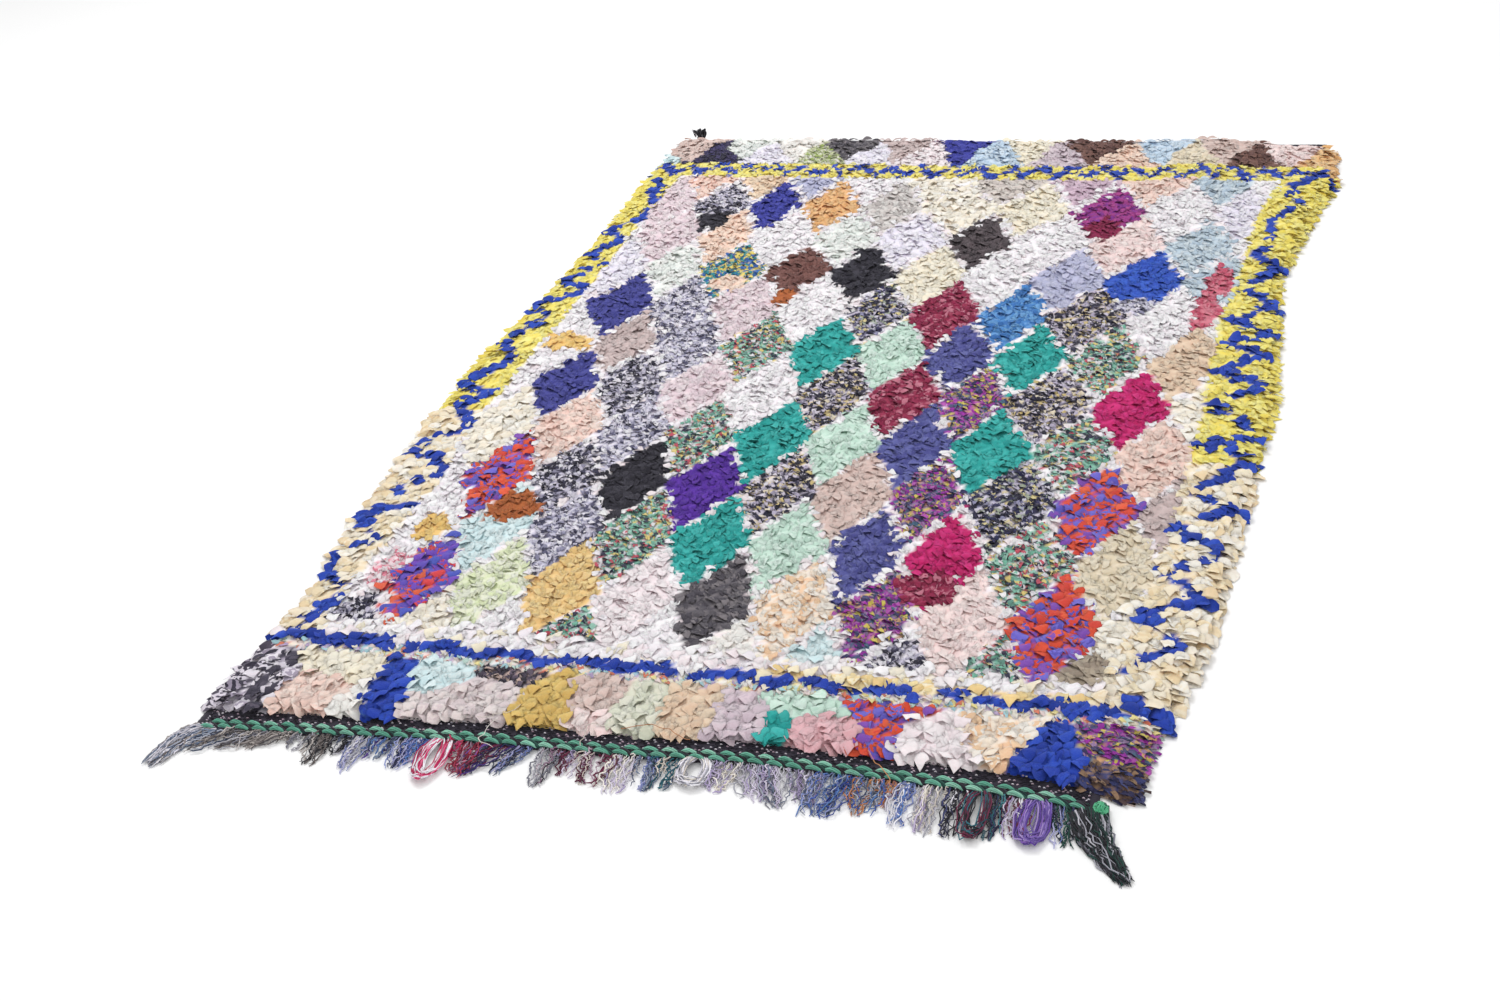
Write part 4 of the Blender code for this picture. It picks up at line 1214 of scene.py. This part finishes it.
def spin(name, yarns, sides, material):
    """One piece from yarns, each a path, a thickness and a colour."""
    places, edges, colours, widths = [], [], [], []
    for yarn in yarns:
        first = len(places)
        count = len(yarn["path"])
        places += [tuple(point) for point in yarn["path"]]
        edges += [(first + i, first + i + 1) for i in range(count - 1)]
        colours += [*yarn["colour"], 1.0] * count
        ends = [min(1, 0.55 + 0.45 * (count - 1 - i)) for i in range(count)]
        widths += [yarn["thick"] * end for end in ends]
    mesh = bpy.data.meshes.new(name)
    mesh.from_pydata(places, edges, [])
    mesh.attributes.new("yarn_colour", "FLOAT_COLOR", "POINT").data.foreach_set("color", colours)
    mesh.attributes.new("thickness", "FLOAT", "POINT").data.foreach_set("value", widths)
    host = bpy.data.objects.new(name, mesh)
    bpy.context.scene.collection.objects.link(host)
    return as_plain_mesh(name, host, YARN_TREE, {"Sides": sides, "Material": material})


def yarn_material(name, twist=420.0):
    """Spun yarn in its own colour, flecked, with a fine twist."""
    material, shader, nodes = start_material(name, 0.85, sheen=0.1)
    place = nodes.add("ShaderNodeTexCoord").other("Object")
    colour = nodes.add("ShaderNodeAttribute", {"attribute_name": "yarn_colour"})
    fleck = nodes.add("ShaderNodeTexNoise", None, Vector=place, Scale=twist, Detail=2.0)
    nodes.feed(shader, "Base Color", tinted(nodes, colour, fleck * 0.5 + 0.75))
    bump = nodes.add("ShaderNodeBump", None, Strength=0.6, Distance=0.0008, Height=fleck)
    nodes.feed(shader, "Normal", bump)
    return material


def yarn_shade(rng, colours):
    return linear(rng.choice(YARNS[rng.choice(colours.split())])) * rng.uniform(0.82, 1.12)


def crinkled(path, rng, amount, size=70, curl=0.35, kink=0):
    """The path with a wander that grows from its root, a tighter curl on it, and kinks."""
    seed = rng.uniform(0, 90)
    points = []
    for i, point in enumerate(path):
        t = i / (len(path) - 1)
        shift = noise.noise_vector((point.x * size + seed, point.y * size, seed)) * amount
        shift += noise.noise_vector((t * 9, seed, point.x * size)) * amount * curl
        turn = KINK_TURN * i + seed
        shift += Vector((math.sin(turn), math.cos(turn * 1.3), math.sin(turn * 0.7))) * kink
        shift *= min(1, t * 2.5)
        points.append(Vector((point.x + shift.x, point.y + shift.y, max(point.z + shift.z * 0.5, 0.0011))))
    return points


def bent_path(root, middle, tip, steps):
    """A quadratic curve from root to tip."""
    return [
        root * (1 - t) ** 2 + middle * 2 * t * (1 - t) + tip * t**2
        for t in (i / steps for i in range(steps + 1))
    ]


def fringe_yarns():
    """Clumps of warp ends and loops that hang from the chain, each to its own tip."""
    rng = random.Random(33)
    yarns = []
    for clump in FRINGE_CLUMPS:
        for _ in range(clump["count"]):
            t = rng.uniform(-1, 1) * (0.15 if clump.get("loop") else 1)
            x = clump["x"] + t * clump["wide"]
            root = Vector((x, chain_y(x) - rng.uniform(0, 0.005), rng.uniform(0.0030, 0.0065)))
            closed_up = clump.get("gather", 0.55)
            tip = Vector((
                clump["tip"][0] + t * clump["wide"] * closed_up + rng.gauss(0, 0.004),
                clump["tip"][1] + abs(rng.gauss(0, 0.008)), 0.0015,
            ))
            if rng.random() < FRINGE_SHORT and not clump.get("loop"):
                tip = root.lerp(tip, rng.uniform(0.35, 0.75)) + Vector((rng.gauss(0, 0.006), 0, 0))
            middle = (root + tip) / 2
            middle += Vector((t * clump["wide"] * 0.7 + rng.gauss(0, 0.004), 0, rng.uniform(0, 0.011)))
            crinkle = clump.get("crinkle", 0.0070)
            if clump.get("loop"):
                path, crinkle = loop_path(root, tip, clump["wide"], rng), LOOP_CRINKLE
            else:
                path = bent_path(root, middle, tip, FRINGE_STEPS)
            yarns.append({
                "path": crinkled(path, rng, crinkle, curl=0.6, kink=FRINGE_KINK),
                "thick": rng.uniform(0.0014, 0.0025),
                "colour": yarn_shade(rng, clump["yarns"]),
            })
    return yarns


def loop_path(root, tip, half, rng):
    """Down one side, round the tip and up the other, with a hole between."""
    down = Vector((0, tip.y - root.y, 0)) * rng.uniform(0.86, 1.06)
    centre = root.lerp(tip, 0.5) + Vector((tip.x - root.x, 0, 0)) / 2
    spread = half * rng.uniform(0.76, 1.06)
    path = []
    for i in range(16):
        turn = math.pi * (0.12 + 1.76 * i / 15)
        path.append(Vector((
            centre.x + spread * math.sin(turn), centre.y - down.y / 2 * math.cos(turn),
            0.003 + 0.006 * abs(math.sin(turn * 1.5)) + rng.uniform(0, 0.002),
        )))
    return path


def chain_yarns():
    """Green stitches that overlap in two staggered rows, and the dark core under them."""
    rng = random.Random(8)
    first, last = CHAIN_XS[0], CHAIN_XS[-1]
    yarns = []
    for strand in range(CORE_STRANDS):
        path = []
        for i in range(161):
            x = first + (last - first) * i / 160
            turn = math.tau * (strand / CORE_STRANDS + x / CORE_TWIST)
            path.append(Vector((
                x, chain_y(x) + CORE_WIDE * math.cos(turn), CORE_MIDDLE + CORE_TALL * math.sin(turn),
            )))
        yarns.append({"path": path, "thick": CORE_YARN, "colour": yarn_shade(rng, "black chain_dark")})
    stitches = round((last - first) / CHAIN_LINK)
    for number in range(2 * stitches - 1):
        row = number % 2
        middle = first + (number + 1) / 2 * (last - first) / stitches
        colours = rng.choice(("chain_light", "chain_green", "chain_green"))
        for strand in range(CHAIN_STRANDS):
            path = []
            for k in range(-4, 5):
                t = k / 4
                arch = math.cos(t * math.pi / 2)
                fat = CHAIN_PLY * (0.35 + 0.65 * arch)
                turn = math.tau * strand / CHAIN_STRANDS + t
                x = middle + t * CHAIN_OVERLAP * CHAIN_LINK
                y = chain_y(x) + CHAIN_ROW * (2 * row - 1) - CHAIN_SLANT * t + fat * math.cos(turn)
                path.append(Vector((x, y, CHAIN_LOW + CHAIN_LIFT * arch + fat * math.sin(turn))))
            yarns.append({"path": path, "thick": CHAIN_YARN, "colour": yarn_shade(rng, colours)})
    return yarns


def tassel_yarns(tassel):
    """Loose yarns from a tied head, swept along one curve to a frayed tip."""
    rng = random.Random(tassel["seed"])
    yarns = []
    head, middle, tip = (Vector(tassel[key]) for key in ("head", "middle", "tip"))
    across = Vector((-(tip - head).y, (tip - head).x, 0)).normalized()
    for _ in range(tassel["count"]):
        t, layer = rng.uniform(-1, 1), rng.uniform(0, 1)
        reach = 1 - abs(rng.gauss(0, 0.16))
        lift = Vector((0, 0, tassel["height"] * layer * (1 - t * t)))
        path = bent_path(
            head + across * t * tassel["head_half"] + lift * 0.6,
            middle + across * t * tassel["half"] + lift,
            head.lerp(tip, reach) + across * t * tassel["tip_half"] + lift * 0.3, 13,
        )
        yarns.append({
            "path": crinkled(path, rng, tassel["crinkle"], 60, kink=FRINGE_KINK),
            "thick": rng.uniform(0.0014, 0.0023), "colour": yarn_shade(rng, tassel["yarns"]),
        })
    for _ in range(tassel.get("knot", 0)):
        centre = Vector(tassel["knot_at"])
        yarns.append(knot_loop(centre, tassel["knot_radius"], rng, tassel["knot_yarns"]))
    return yarns


def knot_loop(centre, radius, rng, colours):
    """A turn of yarn round a ball."""
    axis = Vector((rng.gauss(0, 1), rng.gauss(0, 1), rng.gauss(0, 1))).normalized()
    side = axis.orthogonal().normalized()
    path = []
    for i in range(11):
        spoke = Matrix.Rotation(math.tau * i / 12, 3, axis) @ side
        point = centre + spoke * radius * rng.uniform(0.85, 1.1)
        path.append(Vector((point.x, point.y, max(point.z, 0.0015))))
    return {"path": path, "thick": 0.0024, "colour": yarn_shade(rng, colours)}


def tuft_yarns():
    """The knot at the far left corner, with the short black and white loops that stand up from it."""
    rng = random.Random(4)
    yarns = []
    for number in range(TUFT["loops"]):
        foot = Vector(TUFT["at"]) + Vector((rng.gauss(0, 0.004), rng.gauss(0, 0.003), 0))
        half, tall = rng.uniform(0.004, 0.007), rng.uniform(0.010, 0.018)
        around, lean = rng.uniform(0, math.tau), rng.gauss(0, 0.006)
        path = []
        for i in range(9):
            turn = math.pi * (1.15 * i / 8 - 0.05)
            reach = half * math.cos(turn)
            path.append(foot + Vector((
                reach * math.cos(around) + lean * math.sin(turn), reach * math.sin(around),
                tall * math.sin(turn) + 0.001,
            )))
        pale = number % 4 == 3
        yarns.append({
            "path": path, "thick": 0.0026 if pale else 0.0044,
            "colour": yarn_shade(rng, "white" if pale else "black"),
        })
    for _ in range(TUFT["knot"]):
        centre = Vector(TUFT["at"]) - Vector((0, 0, TUFT["knot_below"]))
        yarns.append(knot_loop(centre, TUFT["knot_radius"], rng, "black"))
    return yarns


def loose_threads():
    """A few long threads that lie curled over the near band."""
    rng = random.Random(14)
    yarns = []
    for thread in LOOSE_THREADS:
        root = Vector((thread["x"], chain_y(thread["x"]) + 0.03, 0.020))
        path = bent_path(root, root + Vector(thread["by"]), root + Vector(thread["to"]), 18)
        yarns.append({
            "path": crinkled(path, rng, 0.012, 34), "thick": 0.0012,
            "colour": yarn_shade(rng, thread["yarns"]),
        })
    return yarns


def band_at(side, u):
    """Inner and outer place of a woven end band at a share of its width."""
    if side == "near":
        x = CHAIN_XS[0] - 0.010 + (CHAIN_XS[-1] - CHAIN_XS[0] + 0.020) * u
        return Vector((x, rim("near", x) + 0.012, 0)), Vector((x, chain_y(x) - 0.006, 0))
    x = FAR_BAND_LEFT + (FAR_BAND_RIGHT - FAR_BAND_LEFT) * u
    return Vector((x, rim("far", x) - 0.006, 0)), Vector((x, rim("far", x) + FAR_BAND_PROUD, 0))


def make_band(name, side, material):
    """A flat woven band, ribbed by its weft rows."""
    bm = bmesh.new()
    bmesh.ops.create_grid(bm, x_segments=240, y_segments=14, size=0.5)
    for vert in bm.verts:
        inner, outer = band_at(side, vert.co.x + 0.5)
        v = vert.co.y + 0.5
        place = inner.lerp(outer, v)
        ribs = 0.0004 * math.cos(v * 14 * math.pi) * (1 if round(vert.co.x * 240) % 2 else -1)
        place.z = BAND_TOP + ribs
        vert.co = place
    edges = [edge for edge in bm.edges if edge.is_boundary]
    walls = bmesh.ops.extrude_edge_only(bm, edges=edges)["geom"]
    for vert in (part for part in walls if isinstance(part, bmesh.types.BMVert)):
        vert.co.z = 0.0003
    bmesh.ops.holes_fill(bm, edges=[edge for edge in bm.edges if edge.is_boundary])
    bmesh.ops.recalc_face_normals(bm, faces=bm.faces)
    mesh = bpy.data.meshes.new(name)
    bm.to_mesh(mesh)
    bm.free()
    mesh.shade_smooth()
    mesh.materials.append(material)
    return finish_piece(name, mesh)


def band_stitches(side):
    """Short weft floats in rows on a woven end band, black with pale specks."""
    rng = random.Random(side)
    yarns = []
    for row in range(STITCH_ROWS):
        v = 0.10 + 0.86 * row / (STITCH_ROWS - 1)
        count = round(1.2 / STITCH_LONG)
        for i in range(count):
            if rng.random() < 0.25:
                continue
            u = (i + 0.5 * (row % 2) + rng.uniform(-0.15, 0.15)) / count
            u = min(max(u, 0.01), 0.99)
            inner, outer = band_at(side, u)
            middle = inner.lerp(outer, v)
            pale = rng.random() < STITCH_PALE
            half = STITCH_LONG * (0.22 if pale else 0.42)
            ends = [Vector((k * half, rng.uniform(-0.0006, 0.0006), 0)) for k in (-1, 0, 1)]
            path = [
                middle + end + Vector((0, 0, BAND_TOP + (0.0010 if k == 1 else 0.0002)))
                for k, end in enumerate(ends)
            ]
            colours = "speck_pink speck_white" if pale else "band_black"
            yarns.append({
                "path": path, "thick": 0.0022 if pale else 0.0020,
                "colour": yarn_shade(rng, colours),
            })
    return yarns


def band_material():
    material, shader, nodes = start_material("band_weave", 0.9, sheen=0.1)
    place = nodes.add("ShaderNodeTexCoord").other("Object")
    grain = nodes.add("ShaderNodeTexNoise", None, Vector=place, Scale=500.0, Detail=2.0)
    dark = nodes.add(
        "ShaderNodeMix", {"data_type": "RGBA"}, 2, n0=grain,
        n6=(*linear((34, 31, 40)), 1), n7=(*linear((58, 52, 66)), 1),
    )
    nodes.feed(shader, "Base Color", dark)
    bump = nodes.add("ShaderNodeBump", None, Strength=0.6, Distance=0.0008, Height=grain)
    nodes.feed(shader, "Normal", bump)
    return material


def make_camera():
    data = bpy.data.cameras.new("camera")
    data.lens, data.sensor_width = CAMERA_LENS, CAMERA_SENSOR
    camera = bpy.data.objects.new("camera", data)
    camera.matrix_world = (
        Matrix.Translation(CAMERA_PLACE) @ Matrix.Rotation(CAMERA_TURN, 4, "Z")
        @ Matrix.Rotation(math.pi / 2 - CAMERA_DIP, 4, "X") @ Matrix.Rotation(-CAMERA_ROLL, 4, "Z")
    )
    bpy.context.scene.collection.objects.link(camera)
    bpy.context.scene.camera = camera


def make_lamp(name, size, power, place, target):
    data = bpy.data.lights.new(name, "AREA")
    data.shape, data.size, data.energy = "DISK", size, power
    lamp = bpy.data.objects.new(name, data)
    aim = (Vector(target) - Vector(place)).to_track_quat("-Z", "Y")
    lamp.matrix_world = Matrix.Translation(place) @ aim.to_matrix().to_4x4()
    bpy.context.scene.collection.objects.link(lamp)


def make_studio():
    """A plain pale floor under soft light."""
    world = bpy.data.worlds.new("studio")
    bpy.context.scene.world = world
    world.use_nodes = True
    world.node_tree.nodes["Background"].inputs["Color"].default_value = (1, 1, 1, 1)
    world.node_tree.nodes["Background"].inputs["Strength"].default_value = 0.80
    make_lamp("key_lamp", 2.0, 70, (-1.6, 1.2, 3.6), (0, 0, 0))
    make_lamp("fill_lamp", 3.0, 30, (2.2, -2.4, 3.4), (0, 0, 0))
    bm = bmesh.new()
    bmesh.ops.create_grid(bm, x_segments=1, y_segments=1, size=20)
    mesh = bpy.data.meshes.new("floor")
    bm.to_mesh(mesh)
    bm.free()
    mesh.transform(Matrix.Translation((0, 0, -0.0003)))
    mesh.materials.append(floor_material())
    floor = bpy.data.objects.new("floor", mesh)
    bpy.context.scene.collection.objects.link(floor)


bpy.context.scene.view_settings.view_transform = "Standard"
make_camera()
make_studio()

CUT_MESHES, CUT_FIRSTS = make_cut_meshes()
YARN_TREE = yarn_tree()
rag_cotton = rag_material()
yarn = yarn_material("spun_yarn")
band_weave = band_material()

pile = [make_packed_pile(rag_cotton), *make_rag_pile(rag_cotton)]
ground = make_ground(ground_material())
near_band = make_band("near_band", "near", band_weave)
far_band = make_band("far_band_weave", "far", band_weave)
near_stitches = spin("near_band_stitches", band_stitches("near"), 4, yarn)
fringe = spin("fringe_yarns", fringe_yarns(), 4, yarn)
chain = spin("chain_plies", chain_yarns(), 6, yarn)
tassels = {name: spin(name + "_yarns", tassel_yarns(tassel), 4, yarn) for name, tassel in TASSELS.items()}
tuft = spin("corner_tuft_yarns", tuft_yarns(), 4, yarn)
threads = spin("loose_threads", loose_threads(), 4, yarn)

DRESSING = {
    "rag_pile": ("rag_cotton", [ground, *pile, threads]),
    "warp_fringe": ("fringe_yarn", [near_band, near_stitches, fringe]),
    "twined_chain": ("chain_yarn", [chain]),
    "far_band": ("dark_band", [far_band]),
    "tassel_left": ("grey_blue_yarn", [tassels["tassel_left"]]),
    "tassel_right": ("dark_green_yarn", [tassels["tassel_right"]]),
    "corner_tuft": ("black_white_yarn", [tuft]),
}
for node, (slot, pieces) in DRESSING.items():
    for piece in pieces:
        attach(piece, "root")
        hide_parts(node)
others = [piece for slot, pieces in DRESSING.values() for piece in pieces if piece != ground]

for cut in list(CUT_MESHES.objects):
    bpy.data.objects.remove(cut)
